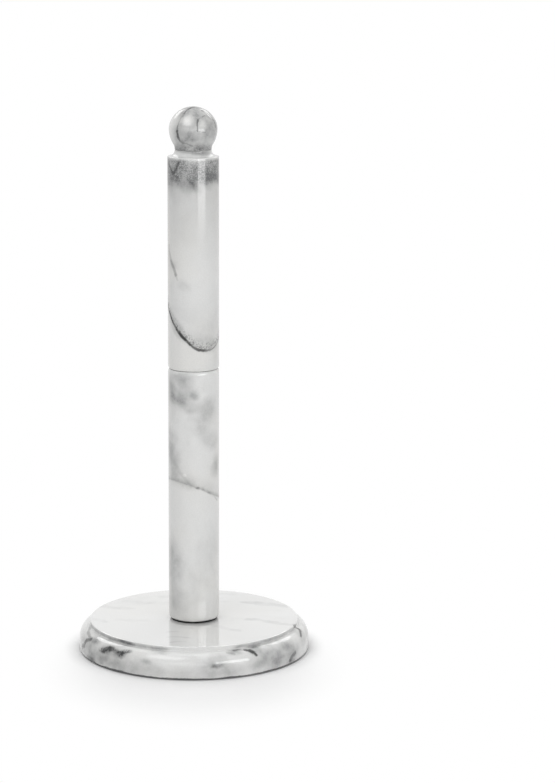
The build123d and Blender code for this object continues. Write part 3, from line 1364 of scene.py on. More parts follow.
BASE_FIGURE = Figure(
    tone=0.0,
    streak=(0.42, 1.0, 1.6),
    faint=0.3,
    threads=0.22,
    offset=(0.31, 0.12, 0.05),
    mottle=0.3,
    waxed_above=18.7,
    veins=(
        Vein(
            ((-66.0, 13.4), (-69.5, 11.2), (-70.5, 9.5), (-71.0, 8.0), (-74.5, 6.5), (-75.5, 5.0)), 4.2, 0.85
        ),
        Vein(((-82.0, 16.6), (-74.0, 15.0), (-66.0, 13.6)), 3.2, 0.5),
        Vein(((17.5, 15.2), (20.5, 14.4)), 2.4, 0.3),
        Vein(((21.0, 15.8), (24.0, 15.7), (27.0, 15.4)), 2.0, 0.6),
        Vein(((27.0, 15.4), (29.3, 14.9)), 3.0, 1.0),
        Vein(((29.3, 14.9), (31.0, 13.8)), 4.2, 1.0),
        Vein(((31.0, 13.8), (31.8, 12.8), (32.2, 12.0)), 2.6, 0.9),
        Vein(((60.0, 6.0), (57.5, 5.0), (55.0, 3.2)), 4.0, 0.7),
        Vein(((73.0, 18.6), (76.0, 17.0), (75.5, 15.4), (70.5, 13.0)), 3.4, 0.85),
        Vein(((118.0, 15.8), (124.0, 13.0), (127.0, 9.0), (134.0, 4.0)), 2.4, 0.5),
        Vein(((196.0, 16.0), (200.0, 14.4), (204.0, 11.6)), 3.0, 0.8),
        Vein(((233.0, 15.6), (238.0, 12.0), (247.0, 8.0), (251.0, 3.0)), 2.6, 0.5),
    ),
    blots=(
        Cloud(-52.6, 10.6, (6.5, 3.4), 0.6),
        Cloud(-50.0, 11.3, (7.0, 3.4), 0.8),
        Cloud(-47.6, 12.4, (6.0, 3.2), 0.7),
        Cloud(-46.0, 13.5, (5.0, 2.6), 1.0),
        Cloud(-43.0, 12.6, (5.5, 3.0), 0.45),
        Cloud(-40.6, 12.6, (5.5, 3.0), 0.5),
        Cloud(-38.2, 11.8, (5.5, 3.6), 0.85),
        Cloud(-38.8, 10.0, (4.5, 2.8), 0.55),
        Cloud(-36.0, 13.7, (5.0, 2.4), 0.8),
        Cloud(-33.6, 14.2, (4.5, 2.0), 0.4),
        Cloud(9.0, 8.7, (3.4, 2.4), 0.6),
        Cloud(11.2, 8.0, (3.8, 2.0), 0.5),
        Cloud(13.4, 8.9, (3.2, 2.2), 0.45),
        Cloud(142.0, 11.6, (6.5, 3.0), 0.8),
        Cloud(146.0, 12.8, (5.5, 2.6), 0.7),
        Cloud(151.0, 11.4, (5.0, 3.2), 0.6),
        Cloud(222.0, 8.8, (4.0, 2.4), 0.6),
    ),
    shades=(
        # Painted shade: this row at about 17 mm darkens the step under the flat top's edge, and the hollow
        # at its foot, all round.
        Cloud(-82.0, 17.4, (11.0, 2.8), 0.4),
        Cloud(-73.0, 17.4, (11.0, 2.8), 0.45),
        Cloud(-64.0, 17.5, (11.0, 2.7), 0.5),
        Cloud(-55.0, 17.5, (11.0, 2.7), 0.6),
        Cloud(-47.0, 17.4, (10.0, 2.6), 0.7),
        Cloud(-40.0, 17.2, (9.0, 2.6), 0.75),
        Cloud(-33.0, 17.1, (9.0, 2.4), 0.55),
        Cloud(-26.0, 17.0, (9.0, 2.2), 0.4),
        Cloud(-19.0, 16.9, (8.0, 2.0), 0.65),
        Cloud(25.0, 17.0, (7.0, 2.2), 0.45),
        Cloud(33.0, 17.0, (8.0, 2.4), 0.6),
        Cloud(41.0, 17.1, (9.0, 2.5), 0.5),
        Cloud(49.0, 17.2, (9.0, 2.6), 0.55),
        Cloud(58.0, 17.3, (10.0, 2.6), 0.4),
        Cloud(68.0, 17.3, (10.0, 2.6), 0.4),
        Cloud(120.0, 17.3, (11.0, 2.6), 0.45),
        Cloud(135.0, 17.3, (11.0, 2.6), 0.5),
        Cloud(198.0, 17.2, (11.0, 2.4), 0.5),
        Cloud(238.0, 17.3, (11.0, 2.6), 0.5),
        Cloud(-61.0, 13.8, (9.0, 3.0), 0.5),
        # Painted shadow: these three darken the lower edge just above the table.
        Cloud(-63.0, 2.0, (10.0, 3.0), 0.45),
        Cloud(-50.0, 0.9, (36.0, 1.3), 0.5),
        Cloud(56.0, 2.0, (6.0, 2.6), 0.45),
        # Painted shade on the rim's right front and in the hollow at the step's foot.
        Cloud(52.0, 12.6, (13.0, 4.0), 0.28),
        Cloud(34.0, 16.0, (8.0, 1.6), 0.4),
        Cloud(20.0, 15.4, (4.0, 1.6), 0.3),
        Cloud(-44.0, 12.2, (17.0, 4.4), 0.5),
        Cloud(-24.0, 10.2, (5.6, 2.6), 0.35),
        Cloud(-17.0, 15.2, (9.0, 1.2), 0.25),
        Cloud(11.0, 9.0, (7.0, 3.6), 0.4),
        Cloud(12.0, 14.0, (8.0, 4.0), 0.2),
        Cloud(21.0, 15.0, (7.0, 2.4), 0.5),
        Cloud(33.0, 14.0, (8.0, 4.0), 0.4),
    ),
    clouds=(
        # From -72° round to 84° these clouds are partly grey in the stone and partly painted shade on the
        # front of the side; the ones behind are the stone's own.
        Cloud(-72.0, 7.0, (21.0, 12.0), 0.48),
        Cloud(-57.0, 6.5, (20.0, 11.5), 0.5),
        Cloud(-42.0, 5.5, (20.0, 10.5), 0.46),
        Cloud(-26.0, 5.0, (19.0, 10.0), 0.32),
        Cloud(-6.0, 4.0, (22.0, 8.0), 0.2),
        Cloud(11.0, 6.0, (17.0, 9.0), 0.32),
        Cloud(20.0, 4.0, (12.0, 7.0), 0.25),
        Cloud(38.0, 7.5, (18.0, 11.0), 0.55),
        Cloud(52.0, 8.0, (18.0, 11.0), 0.48),
        Cloud(61.0, 5.0, (13.0, 8.0), 0.28),
        Cloud(72.0, 11.0, (11.0, 9.0), 0.35),
        Cloud(84.0, 9.0, (12.0, 10.0), 0.5),
        Cloud(112.0, 7.0, (19.0, 11.0), 0.35),
        Cloud(128.0, 9.0, (18.0, 11.0), 0.5),
        Cloud(147.0, 10.0, (20.0, 9.0), 0.5),
        Cloud(170.0, 5.0, (21.0, 9.0), 0.3),
        Cloud(190.0, 12.0, (14.0, 8.0), 0.35),
        Cloud(208.0, 8.0, (18.0, 11.0), 0.45),
        Cloud(228.0, 6.0, (18.0, 10.0), 0.4),
        Cloud(246.0, 9.0, (18.0, 11.0), 0.5),
        Cloud(264.0, 7.0, (16.0, 10.0), 0.4),
    ),
    streaks=(
        Streak((-58.0, 25.0), (-40.0, 18.0), 9.0, 0.14),
        Streak((-61.0, -3.0), (-55.0, -8.0), 7.0, 0.14),
        Streak((-46.0, -4.0), (-28.0, -8.0), 8.0, 0.07),
        Streak((30.0, 32.0), (58.0, 24.0), 9.0, 0.22),
        Streak((32.0, -6.0), (60.0, -18.0), 7.0, 0.2),
        Streak((14.0, -20.0), (28.0, -31.0), 8.0, 0.12),
        Streak((-20.0, 46.0), (24.0, 52.0), 10.0, 0.1),
        Streak((-15.0, -31.5), (-8.0, -32.5), 4.0, 0.14),
        Streak((-15.0, -43.0), (2.0, -47.5), 4.5, 0.16),
        Streak((-14.0, -54.5), (-6.0, -52.5), 4.0, 0.14),
        Streak((-2.0, -55.0), (4.0, -54.3), 3.0, 0.2),
    ),
    bands=(
        # Painted shadow: this band darkens the lowest part of the side, just above the table.
        Band(top=1.8, top_fade=0.7, bottom=0.0, fade=0.1, wander=0.2, grit=0.25, darkness=0.85),
    ),
)


@dataclass(frozen=True)
class StoneBase:
    """Round stone base with a moulded rim, its feet and the bolt that holds the post.

    Attributes:
        radius: Of the whole base.
        underside: Height of the lower face.
        top: Height of the flat top.
        rim_width: From the flat top out to the side.
        step_height: From the rim's round up to the flat top.
        round_height: Of the rim's round.
        step_edge: Radius of the flat top's edge.
        step_cove: Radius of the hollow at the step's foot.
        lower_edge: Radius of the lower edge.
        recess_radius: Of the recess for the bolt's head.
        recess_top: Height of the recess's roof.
        hole_radius: Of the bolt's hole.
        edge_steps: Straight runs along the lower edge.
        round_steps: The same along the rim's round.
        cove_steps: The same along the hollow and the flat top's edge.
        halvings: Steps in the search for where the hollow touches the round.
        bolt: The bolt.
        figure: The stone's figure.
    """

    radius: float = 70.0 * MM
    underside: float = 0.7 * MM
    top: float = 18.8 * MM
    rim_width: float = 6.5 * MM
    step_height: float = 2.8 * MM
    round_height: float = 8.2 * MM
    step_edge: float = 0.6 * MM
    step_cove: float = 0.7 * MM
    lower_edge: float = 0.8 * MM
    recess_radius: float = 13.0 * MM
    recess_top: float = 11.4 * MM
    hole_radius: float = 4.5 * MM
    edge_steps: int = 10
    round_steps: int = 28
    cove_steps: int = 8
    halvings: int = 40
    bolt: HexBolt = HexBolt()
    figure: Figure = BASE_FIGURE

    def round_middle(self) -> Pair:
        """Return the middle of the rim's round."""
        return self.radius - self.rim_width, self.top - self.step_height - self.round_height

    def hollow_touch(self) -> Triple:
        """Find where the hollow at the step's foot touches the rim's round.

        Returns:
            The angle there along the round and the way the round faces, in degrees, and the height.
        """
        _, side_top = self.round_middle()
        low, high = UP / 2, UP
        for _ in range(self.halvings):
            reach = (low + high) / 2
            turn = math.radians(reach)
            across, rise = math.cos(turn), math.sin(turn)
            facing = math.atan2(rise / self.round_height, across / self.rim_width)
            if self.rim_width * across + self.step_cove * math.cos(facing) > self.step_cove:
                low = reach
            else:
                high = reach
        return low, math.degrees(facing), side_top + self.round_height * rise

    def rim(self) -> Outline:
        """Lay out the outside.

        Returns:
            The outline from the underside up to the flat top.
        """
        flat, side_top = self.round_middle()
        round_end, facing, touch = self.hollow_touch()
        foot = (self.radius - self.lower_edge, self.underside + self.lower_edge)
        hollow = (flat + self.step_cove, touch + self.step_cove * math.sin(math.radians(facing)))
        head = (flat - self.step_edge, self.top - self.step_edge)
        axes = (self.rim_width, self.round_height)
        return [
            *arc(foot, self.lower_edge, DOWN, OUT, self.edge_steps),
            *oval((flat, side_top), axes, OUT, round_end, self.round_steps),
            *arc(hollow, self.step_cove, facing - IN, -IN, self.cove_steps)[1:],
            *arc(head, self.step_edge, OUT, UP, self.cove_steps),
        ]

    def build(self, finishes: Finishes) -> None:
        """Build and dress the disc, the bolt, the washers and the feet.

        Args:
            finishes: The stand's finishes.
        """
        rim = self.rim()
        bore = [
            (self.hole_radius, self.top),
            (self.hole_radius, self.recess_top),
            (self.recess_radius, self.recess_top),
            (self.recess_radius, self.underside),
        ]
        disc = turned("base_stone", rim + bore)
        material = finishes.stone.material("base_stone", self.figure, SurfacePoint(rim))
        dress(disc, Body.BASE, "base_disc", material)
        self.bolt.build(finishes.steel)
        for node in ("base_flat_washer", "base_spring_washer"):
            dress_node(node, Slot.STEEL, finishes.steel)
        for node in sorted(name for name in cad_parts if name.startswith("foot_pad")):
            dress_node(node, Slot.FOOT_RUBBER, finishes.foot_rubber)


@dataclass(frozen=True)
class PostSection:
    """One stone length of the post, with a pocket in each end.

    Attributes:
        node: The CAD node it stands for.
        body: The body it rides on.
        bottom: Height of its lower face.
        top: Height of its upper face.
        foot_edge: How deep and how tall its lower edge is softened.
        lower_pocket: Radius and depth.
        upper_pocket: Radius and depth.
        figure: The stone's figure.
        head_edge: How deep and how tall its upper edge is softened.
        radius: Of the wall.
        wall_rows: Rows of faces up the wall.
        edge_steps: Straight runs along a softened edge.
    """

    node: str
    body: Body
    bottom: float
    top: float
    foot_edge: Pair
    lower_pocket: Pair
    upper_pocket: Pair
    figure: Figure
    head_edge: Pair = (0.8 * MM, 2.6 * MM)
    radius: float = 15.4 * MM
    wall_rows: int = 48
    edge_steps: int = 12

    def head(self) -> Outline:
        """Return the upper end from the wall up."""
        deep, tall = self.head_edge
        return oval((self.radius - deep, self.top - tall), self.head_edge, OUT, UP, self.edge_steps)

    def wall(self) -> Outline:
        """Lay out the outside.

        Returns:
            The outline from the foot up.
        """
        deep, tall = self.foot_edge
        head = self.head()
        low, high = self.bottom + tall, head[0][1]
        rows = [low + (high - low) * k / self.wall_rows for k in range(1, self.wall_rows)]
        foot = oval((self.radius - deep, low), self.foot_edge, DOWN, OUT, self.edge_steps)
        return [*foot, *((self.radius, row) for row in rows), *head]

    def build(self, stone: VeinedStone) -> None:
        """Build and dress the stone.

        Args:
            stone: The finish that its figure is painted in.
        """
        upper_radius, upper_depth = self.upper_pocket
        lower_radius, lower_depth = self.lower_pocket
        upper_floor, lower_floor = self.top - upper_depth, self.bottom + lower_depth
        wall = self.wall()
        above = [(upper_radius, self.top), (upper_radius, upper_floor), (0.0, upper_floor)]
        below = [(0.0, lower_floor), (lower_radius, lower_floor), (lower_radius, self.bottom)]
        piece = turned(f"{self.node}_stone", wall + above + below)
        material = stone.material(f"{self.node}_stone", self.figure, SurfacePoint(wall))
        dress(piece, self.body, self.node, material)


@dataclass(frozen=True)
class CollaredSection(PostSection):
    """A post section whose upper end sweeps in to the ball's neck.

    Attributes:
        rim_top: Height of the rim.
        rim_width: From the wall in to the hollow sweep.
        rim_edge: Radius of the rim's edge.
        neck_radius: Of the collar at the top of the sweep.
        collar_edge: Radius of the collar's upper edge.
        rim_steps: Straight runs along the rim's edge.
        sweep_steps: The same along the hollow sweep.
        collar_steps: The same along the collar's edge.
    """

    rim_top: float = 302.3 * MM
    rim_width: float = 1.05 * MM
    rim_edge: float = 0.7 * MM
    neck_radius: float = 11.05 * MM
    collar_edge: float = 0.15 * MM
    rim_steps: int = 10
    sweep_steps: int = 18
    collar_steps: int = 5

    def head(self) -> Outline:
        """Lay out the rim, the hollow sweep and the collar.

        Returns:
            The outline from the wall up.
        """
        rim, collar = self.rim_edge, self.collar_edge
        sweep = self.radius - self.rim_width - self.neck_radius
        hollow = (self.neck_radius + sweep, self.rim_top + sweep)
        edge = (self.neck_radius - collar, self.top - collar)
        return [
            *arc((self.radius - rim, self.rim_top - rim), rim, OUT, UP, self.rim_steps),
            *arc(hollow, sweep, DOWN, -IN, self.sweep_steps),
            *arc(edge, collar, OUT, UP, self.collar_steps),
        ]


# Each post section has one vein right across it: a dark line in a wider, fainter one.
LOWER_VEIN_SLOPE = (-0.379, -0.279)
UPPER_VEIN_SLOPE = (-0.63, 1.07)

LOWER_POST_FIGURE = Figure(
    tone=0.02,
    streak=(1.0, 1.0, 0.45),
    faint=0.4,
    threads=0.5,
    offset=(0.52, 0.17, 0.09),
    sheets=(
        Sheet(
            height=100.1,
            slope=LOWER_VEIN_SLOPE,
            width=1.5,
            darkness=0.22,
            fray=3.0,
            haze=9.0,
            haze_darkness=0.14,
            pressed=(
                Cloud(9.0, 103.4, (2.6, 1.6), 1.9),
                Cloud(22.0, 102.6, (2.2, 2.0), 1.4),
                Cloud(38.0, 100.4, (2.4, 2.0), 1.0),
            ),
        ),
        Sheet(
            height=100.3,
            slope=LOWER_VEIN_SLOPE,
            width=4.5,
            darkness=0.1,
            fray=0.5,
            haze=2.0,
            haze_darkness=0.1,
        ),
    ),
    veins=(
        Vein(((30.0, 101.8), (39.0, 100.1), (52.0, 97.9), (65.0, 94.1)), 1.6, 0.2),
        Vein(((-72.0, 121.7), (-54.0, 118.9), (-44.0, 116.6), (-29.0, 111.3)), 3.6, 0.1),
        Vein(((-29.0, 111.3), (-15.5, 107.3), (-4.0, 104.6)), 3.2, 0.13),
    ),
    clouds=(
        Cloud(-52.0, 160.0, (15.0, 12.0), 0.36),
        Cloud(-66.0, 167.0, (11.0, 12.0), 0.2),
        Cloud(-26.0, 171.5, (12.0, 7.0), 0.42),
        Cloud(-22.0, 160.0, (11.0, 9.0), 0.16),
        Cloud(-8.0, 166.0, (7.0, 6.0), 0.2),
        Cloud(-36.0, 156.0, (13.0, 5.5), 0.28),
        Cloud(3.0, 161.4, (5.0, 5.5), 0.36),
        Cloud(-5.0, 152.0, (9.0, 5.5), 0.28),
        Cloud(34.0, 151.5, (10.0, 9.5), 0.38),
        Cloud(16.0, 143.0, (10.0, 13.0), 0.2),
        Cloud(38.0, 133.0, (10.0, 9.0), 0.2),
        Cloud(56.0, 115.0, (7.0, 10.0), 0.42),
        Cloud(-70.0, 130.0, (10.0, 15.0), 0.38),
        Cloud(-60.0, 119.0, (12.0, 14.0), 0.32),
        Cloud(-42.0, 112.5, (12.0, 9.0), 0.12),
        Cloud(-14.0, 107.0, (9.0, 5.0), 0.26),
        Cloud(-58.0, 56.0, (12.0, 24.0), 0.42),
        Cloud(-46.0, 33.0, (12.0, 13.0), 0.32),
    ),
    shades=(Cloud(-21.0, 111.2, (2.0, 1.2), -0.3),),
    bands=(
        # Painted shade: this band darkens the foot's rounded edge where the post sits on the base.
        Band(top=20.7, top_fade=0.8, bottom=0.0, fade=0.1, wander=0.1, grit=0.2, darkness=0.85),
    ),
)

UPPER_POST_FIGURE = Figure(
    tone=0.02,
    streak=(1.0, 1.0, 0.45),
    faint=0.35,
    threads=0.5,
    offset=(0.19, 0.63, 0.37),
    sheets=(
        Sheet(
            height=206.2,
            slope=UPPER_VEIN_SLOPE,
            width=1.5,
            darkness=0.8,
            fray=5.0,
            haze=30.0,
            haze_darkness=0.12,
            pressed=(
                Cloud(-64.0, 207.7, (16.0, 16.0), 0.9),
                Cloud(-26.0, 195.6, (11.0, 11.0), 1.2),
                Cloud(12.0, 188.0, (9.0, 7.0), 0.55),
                Cloud(58.0, 189.3, (10.0, 8.0), -0.35),
            ),
        ),
        Sheet(
            height=206.4,
            slope=UPPER_VEIN_SLOPE,
            width=5.0,
            darkness=0.12,
            fray=1.0,
            haze=3.0,
            haze_darkness=0.1,
            pressed=(Cloud(-40.0, 200.0, (16.0, 16.0), 1.2),),
        ),
    ),
    bands=(
        Band(top=302.4, top_fade=2.6, bottom=288.0, fade=4.0, wander=4.0, grit=0.45, darkness=0.45),
        Band(top=303.0, top_fade=3.0, bottom=258.0, fade=34.0, wander=1.0, grit=0.06, darkness=0.22),
    ),
    veins=(
        Vein(((-70.0, 249.5), (-67.0, 246.0), (-63.0, 243.0), (-59.0, 240.2)), 2.8, 0.34),
        Vein(((-68.0, 243.1), (-58.0, 239.9), (-50.0, 236.5)), 4.4, 0.14),
        Vein(((-60.0, 240.6), (-50.0, 236.0), (-44.0, 232.8)), 3.4, 0.48),
        Vein(((-44.0, 233.2), (-38.0, 229.8)), 2.2, 0.18),
        Vein(((-68.0, 297.7), (-60.0, 295.6), (-50.6, 292.8)), 3.0, 0.65),
        Vein(((-34.5, 299.2), (-40.0, 296.6), (-50.6, 292.8)), 2.8, 0.65),
        Vein(((-50.6, 292.8), (-42.0, 291.2), (-34.5, 290.2)), 2.0, 0.4),
    ),
    clouds=(
        Cloud(-24.0, 224.9, (5.0, 5.0), 0.16),
        Cloud(-54.0, 238.0, (9.0, 7.0), 0.2),
        Cloud(-66.0, 291.0, (12.0, 12.0), 0.3),
        Cloud(-20.0, 286.0, (11.0, 8.0), 0.3),
        Cloud(6.0, 286.0, (9.0, 7.0), 0.3),
        Cloud(56.0, 291.0, (12.0, 8.5), 0.4),
        Cloud(-50.0, 283.0, (12.0, 11.0), 0.16),
        Cloud(44.0, 286.0, (6.0, 5.0), 0.24),
        Cloud(25.0, 193.0, (12.0, 7.0), 0.12),
    ),
    shades=(
        # The first three are painted shade in the hollow sweep under the ball's neck.
        Cloud(-8.0, 305.2, (10.0, 2.6), 0.5),
        Cloud(30.0, 304.8, (9.0, 3.0), 0.5),
        Cloud(-50.0, 305.6, (8.0, 1.6), 0.25),
        Cloud(4.0, 300.5, (9.0, 5.0), -0.3),
    ),
)


@dataclass(frozen=True)
class Post:
    """The two screwed post sections with their stud, inserts and joint washers.

    Attributes:
        lower: The lower section.
        upper: The upper section, with the collar.
        stud_tip: Height of the stud's lower end.
        stud_top: Height of its upper end.
        thread: The stud's thread.
    """

    lower: PostSection = PostSection(
        node="lower_post",
        body=Body.LOWER_POST,
        bottom=19.7 * MM,
        top=174.35 * MM,
        foot_edge=(1.3 * MM, 3.2 * MM),
        lower_pocket=(6.15 * MM, 17.0 * MM),
        upper_pocket=(6.15 * MM, 17.0 * MM),
        figure=LOWER_POST_FIGURE,
    )
    upper: CollaredSection = CollaredSection(
        node="upper_post",
        body=Body.UPPER_POST,
        bottom=174.6 * MM,
        top=305.9 * MM,
        foot_edge=(0.8 * MM, 2.6 * MM),
        lower_pocket=(4.1 * MM, 16.5 * MM),
        upper_pocket=(6.15 * MM, 14.5 * MM),
        figure=UPPER_POST_FIGURE,
    )
    stud_tip: float = 161.35 * MM
    stud_top: float = 189.6 * MM
    thread: Thread = Thread()

    def build(self, finishes: Finishes) -> None:
        """Build and dress both sections and what joins them.

        Args:
            finishes: The stand's finishes.
        """
        self.lower.build(finishes.stone)
        self.upper.build(finishes.stone)
        stud = finish_mesh("middle_threaded_stud", self.thread.rod(self.stud_tip, self.stud_top))
        dress(stud, Body.UPPER_POST, "middle_stud", finishes.steel)
        for node in ("lower_post_bottom_insert", "lower_post_top_insert", "upper_post_top_insert"):
            dress_node(node, Slot.BRASS, finishes.brass)
        dress_node("base_joint_washer", Slot.WASHER_RUBBER, finishes.washer_rubber)
        dress_node("middle_joint_washer", Slot.FIBRE, finishes.grey_fibre)
        dress_node("finial_washer", Slot.FIBRE, finishes.pale_fibre)


BALL_FIGURE = Figure(
    tone=0.46,
    streak=(1.0, 1.0, 0.7),
    faint=0.25,
    threads=0.6,
    offset=(0.07, 0.41, 0.23),
    wander=1.3,
    mottle=0.36,
    veins=(
        Vein(((-33.0, 326.6), (-32.0, 328.0)), 1.8, 0.35),
        Vein(((-32.0, 328.0), (-31.0, 329.3), (-23.0, 330.6), (19.0, 331.2)), 2.2, 0.8),
        Vein(((-38.0, 328.2), (-37.0, 326.0), (-39.0, 323.6), (-42.0, 320.8)), 1.2, 0.28),
        Vein(((-42.0, 320.8), (-41.0, 318.0)), 1.8, 0.5),
        Vein(((-41.0, 318.0), (-39.0, 315.5), (-35.0, 312.4)), 2.4, 0.85),
        Vein(((-35.0, 312.4), (-28.0, 310.9), (-17.0, 310.3), (-3.0, 309.3)), 1.8, 0.4),
        Vein(((38.0, 326.9), (27.0, 326.1), (14.0, 324.8)), 1.1, 0.4),
        Vein(((14.0, 324.8), (11.0, 322.6), (9.0, 320.3), (8.0, 318.1)), 1.5, 0.65),
        Vein(((9.0, 318.6), (19.0, 318.0), (31.0, 317.3)), 1.0, 0.26),
        Vein(((43.0, 329.4), (59.0, 327.2), (64.0, 324.8), (67.0, 322.2), (67.0, 320.0)), 1.6, 0.6),
    ),
    clouds=(
        Cloud(-22.0, 315.0, (10.0, 6.5), 0.26),
        Cloud(-24.0, 318.6, (7.0, 4.0), 0.16),
        Cloud(0.0, 330.0, (10.0, 4.0), 0.14),
    ),
    shades=(
        Cloud(-70.0, 321.5, (9.5, 14.0), -0.6),
        Cloud(-62.0, 312.0, (6.5, 7.0), -0.2),
        # Painted highlights: these two pale patches stand for soft reflections of the lights, left and right
        # of the middle.
        Cloud(-17.0, 324.4, (6.6, 4.8), -0.52),
        Cloud(22.0, 321.8, (4.5, 4.5), -0.38),
    ),
    bands=(
        Band(top=331.6, top_fade=0.5, bottom=313.0, fade=8.0, wander=3.0, grit=0.8, darkness=0.05),
        Band(top=311.0, top_fade=4.0, bottom=304.0, fade=1.0, wander=0.5, grit=0.6, darkness=0.24),
    ),
)


@dataclass(frozen=True)
class BallFinial:
    """Flattened stone ball that narrows to a neck.

    Attributes:
        radius: Of the ball at its widest.
        swell: How far the ball stands out over the neck.
        bottom: Height of the neck's lower face.
        neck_height: Of the neck's straight part.
        shoulder_height: From the neck up to the ball's widest.
        shoulder_radius: Of the arc below the widest.
        crown_height: From the widest up to the top.
        crown_side_share: Radius of the arc over the widest, as a share of that height.
        neck_edge: Radius of the neck's lower edge.
        pocket_radius: Of the stud's pocket.
        pocket_depth: Of the stud's pocket.
        stud_tip: Height of the stud's lower end.
        stud_top: Height of its upper end.
        edge_steps: Straight runs along the neck's edge.
        hollow_steps: The same along the hollow over the neck.
        side_steps: The same along the arcs below and over the widest.
        dome_steps: The same along the top.
        thread: The stud's thread.
        figure: The stone's figure.
    """

    radius: float = 14.45 * MM
    swell: float = 3.4 * MM
    bottom: float = 306.15 * MM
    neck_height: float = 0.4 * MM
    shoulder_height: float = 11.75 * MM
    shoulder_radius: float = 17.0 * MM
    crown_height: float = 13.2 * MM
    crown_side_share: float = 0.83
    neck_edge: float = 0.2 * MM
    pocket_radius: float = 4.1 * MM
    pocket_depth: float = 13.5 * MM
    stud_tip: float = 295.4 * MM
    stud_top: float = 318.15 * MM
    edge_steps: int = 6
    hollow_steps: int = 16
    side_steps: int = 24
    dome_steps: int = 14
    thread: Thread = Thread()
    figure: Figure = BALL_FIGURE

    def outside(self) -> Outline:
        """Lay out the outside.

        Returns:
            The outline from the neck's foot up to the crown.
        """
        shoulder_foot = self.bottom + self.neck_height
        equator = shoulder_foot + self.shoulder_height
        neck = self.radius - self.swell
        both_arcs = (self.swell**2 + self.shoulder_height**2) / (2 * self.swell)
        hollow = both_arcs - self.shoulder_radius
        bend = math.degrees(math.asin(self.shoulder_height / both_arcs))
        side = self.crown_height * self.crown_side_share
        side_middle = self.radius - side
        dome = (side_middle**2 + self.crown_height**2 - side**2) / (2 * (self.crown_height - side))
        dome_middle = equator + self.crown_height - dome
        lift = math.degrees(math.atan2(equator - dome_middle, side_middle))
        foot = (neck - self.neck_edge, self.bottom + self.neck_edge)
        shoulder = (self.radius - self.shoulder_radius, equator)
        points = [
            *arc(foot, self.neck_edge, DOWN, OUT, self.edge_steps),
            *arc((neck + hollow, shoulder_foot), hollow, IN, IN - bend, self.hollow_steps),
            *arc(shoulder, self.shoulder_radius, -bend, OUT, self.side_steps)[1:],
            *arc((side_middle, equator), side, OUT, lift, self.side_steps)[1:],
            *arc((0.0, dome_middle), dome, lift, UP, self.dome_steps)[1:],
        ]
        points[-1] = (0.0, points[-1][1])
        return points

    def build(self, finishes: Finishes) -> None:
        """Build and dress the ball and its stud.

        Args:
            finishes: The stand's finishes.
        """
        outside = self.outside()
        floor = self.bottom + self.pocket_depth
        pocket = [(0.0, floor), (self.pocket_radius, floor), (self.pocket_radius, self.bottom)]
        piece = turned("ball_finial_stone", outside + pocket)
        material = finishes.stone.material("ball_finial_stone", self.figure, SurfacePoint(outside))
        dress(piece, Body.FINIAL, "ball_finial", material)
        stud = finish_mesh("finial_threaded_stud", self.thread.rod(self.stud_tip, self.stud_top))
        dress(stud, Body.FINIAL, "finial_stud", finishes.steel)


@dataclass(frozen=True)
class Softbox:
    """A soft rectangular light.

    Attributes:
        name: The light's name.
        bearing: Degrees from the front, positive to the right.
        distance: From the axis, along the table.
        height: Of its middle above the table.
        size: Width and height.
        aim: Height on the axis that it faces.
        glow: How bright its face is, where 1 is white.
        sheets: Diffuser sheets that share the glow, each shorter at its lower edge than the last.
        shortening: How much shorter each sheet is.
        sheet_gap: From one sheet to the next.
    """

    name: str
    bearing: float
    distance: float
    height: float
    size: Pair
    aim: float
    glow: float
    sheets: int = 1
    shortening: float = 0.0
    sheet_gap: float = 2.0 * MM

    def place(self) -> None:
        """Put the light in the scene, out of the camera's own sight."""
        angle = math.radians(self.bearing)
        for sheet in range(self.sheets):
            cut = sheet * self.shortening
            lamp = bpy.data.lights.new(self.name, "AREA")
            lamp.shape = "RECTANGLE"
            lamp.size, lamp.size_y = self.size[0], self.size[1] - cut
            # A flat lamp's power is its face's glow times pi times its area.
            lamp.energy = self.glow / self.sheets * math.pi * lamp.size * lamp.size_y
            light = bpy.data.objects.new(self.name, lamp)
            reach, rise = self.distance + sheet * self.sheet_gap, cut / 2
            light.location = (reach * math.sin(angle), -reach * math.cos(angle), self.height + rise)
            facing = Vector((0.0, 0.0, self.aim + rise)) - light.location
            light.rotation_euler = facing.to_track_quat("-Z", "Y").to_euler()
            light.visible_camera = False
            bpy.context.scene.collection.objects.link(light)


SOFTBOXES = (
    Softbox(
        "left_high_softbox", bearing=-36.0, distance=1.1, height=1.25, size=(0.9, 0.8), aim=0.2, glow=2.5
    ),
    Softbox(
        "right_strip_softbox",
        bearing=37.3,
        distance=1.3,
        height=0.271,
        size=(0.82, 0.41),
        aim=0.271,
        glow=4.4,
        sheets=4,
        shortening=0.02,
    ),
    Softbox(
        "front_fill_softbox", bearing=-12.0, distance=2.0, height=0.35, size=(1.6, 0.6), aim=0.1, glow=0.9
    ),
    Softbox(
        "overhead_softbox", bearing=170.0, distance=0.25, height=1.9, size=(2.0, 2.0), aim=0.1, glow=1.1
    ),
    Softbox(
        "back_left_softbox", bearing=-148.0, distance=1.28, height=1.05, size=(0.75, 0.5), aim=0.02, glow=2.4
    ),
    Softbox(
        "back_right_softbox", bearing=148.0, distance=1.28, height=1.05, size=(0.75, 0.5), aim=0.02, glow=2.4
    ),
)


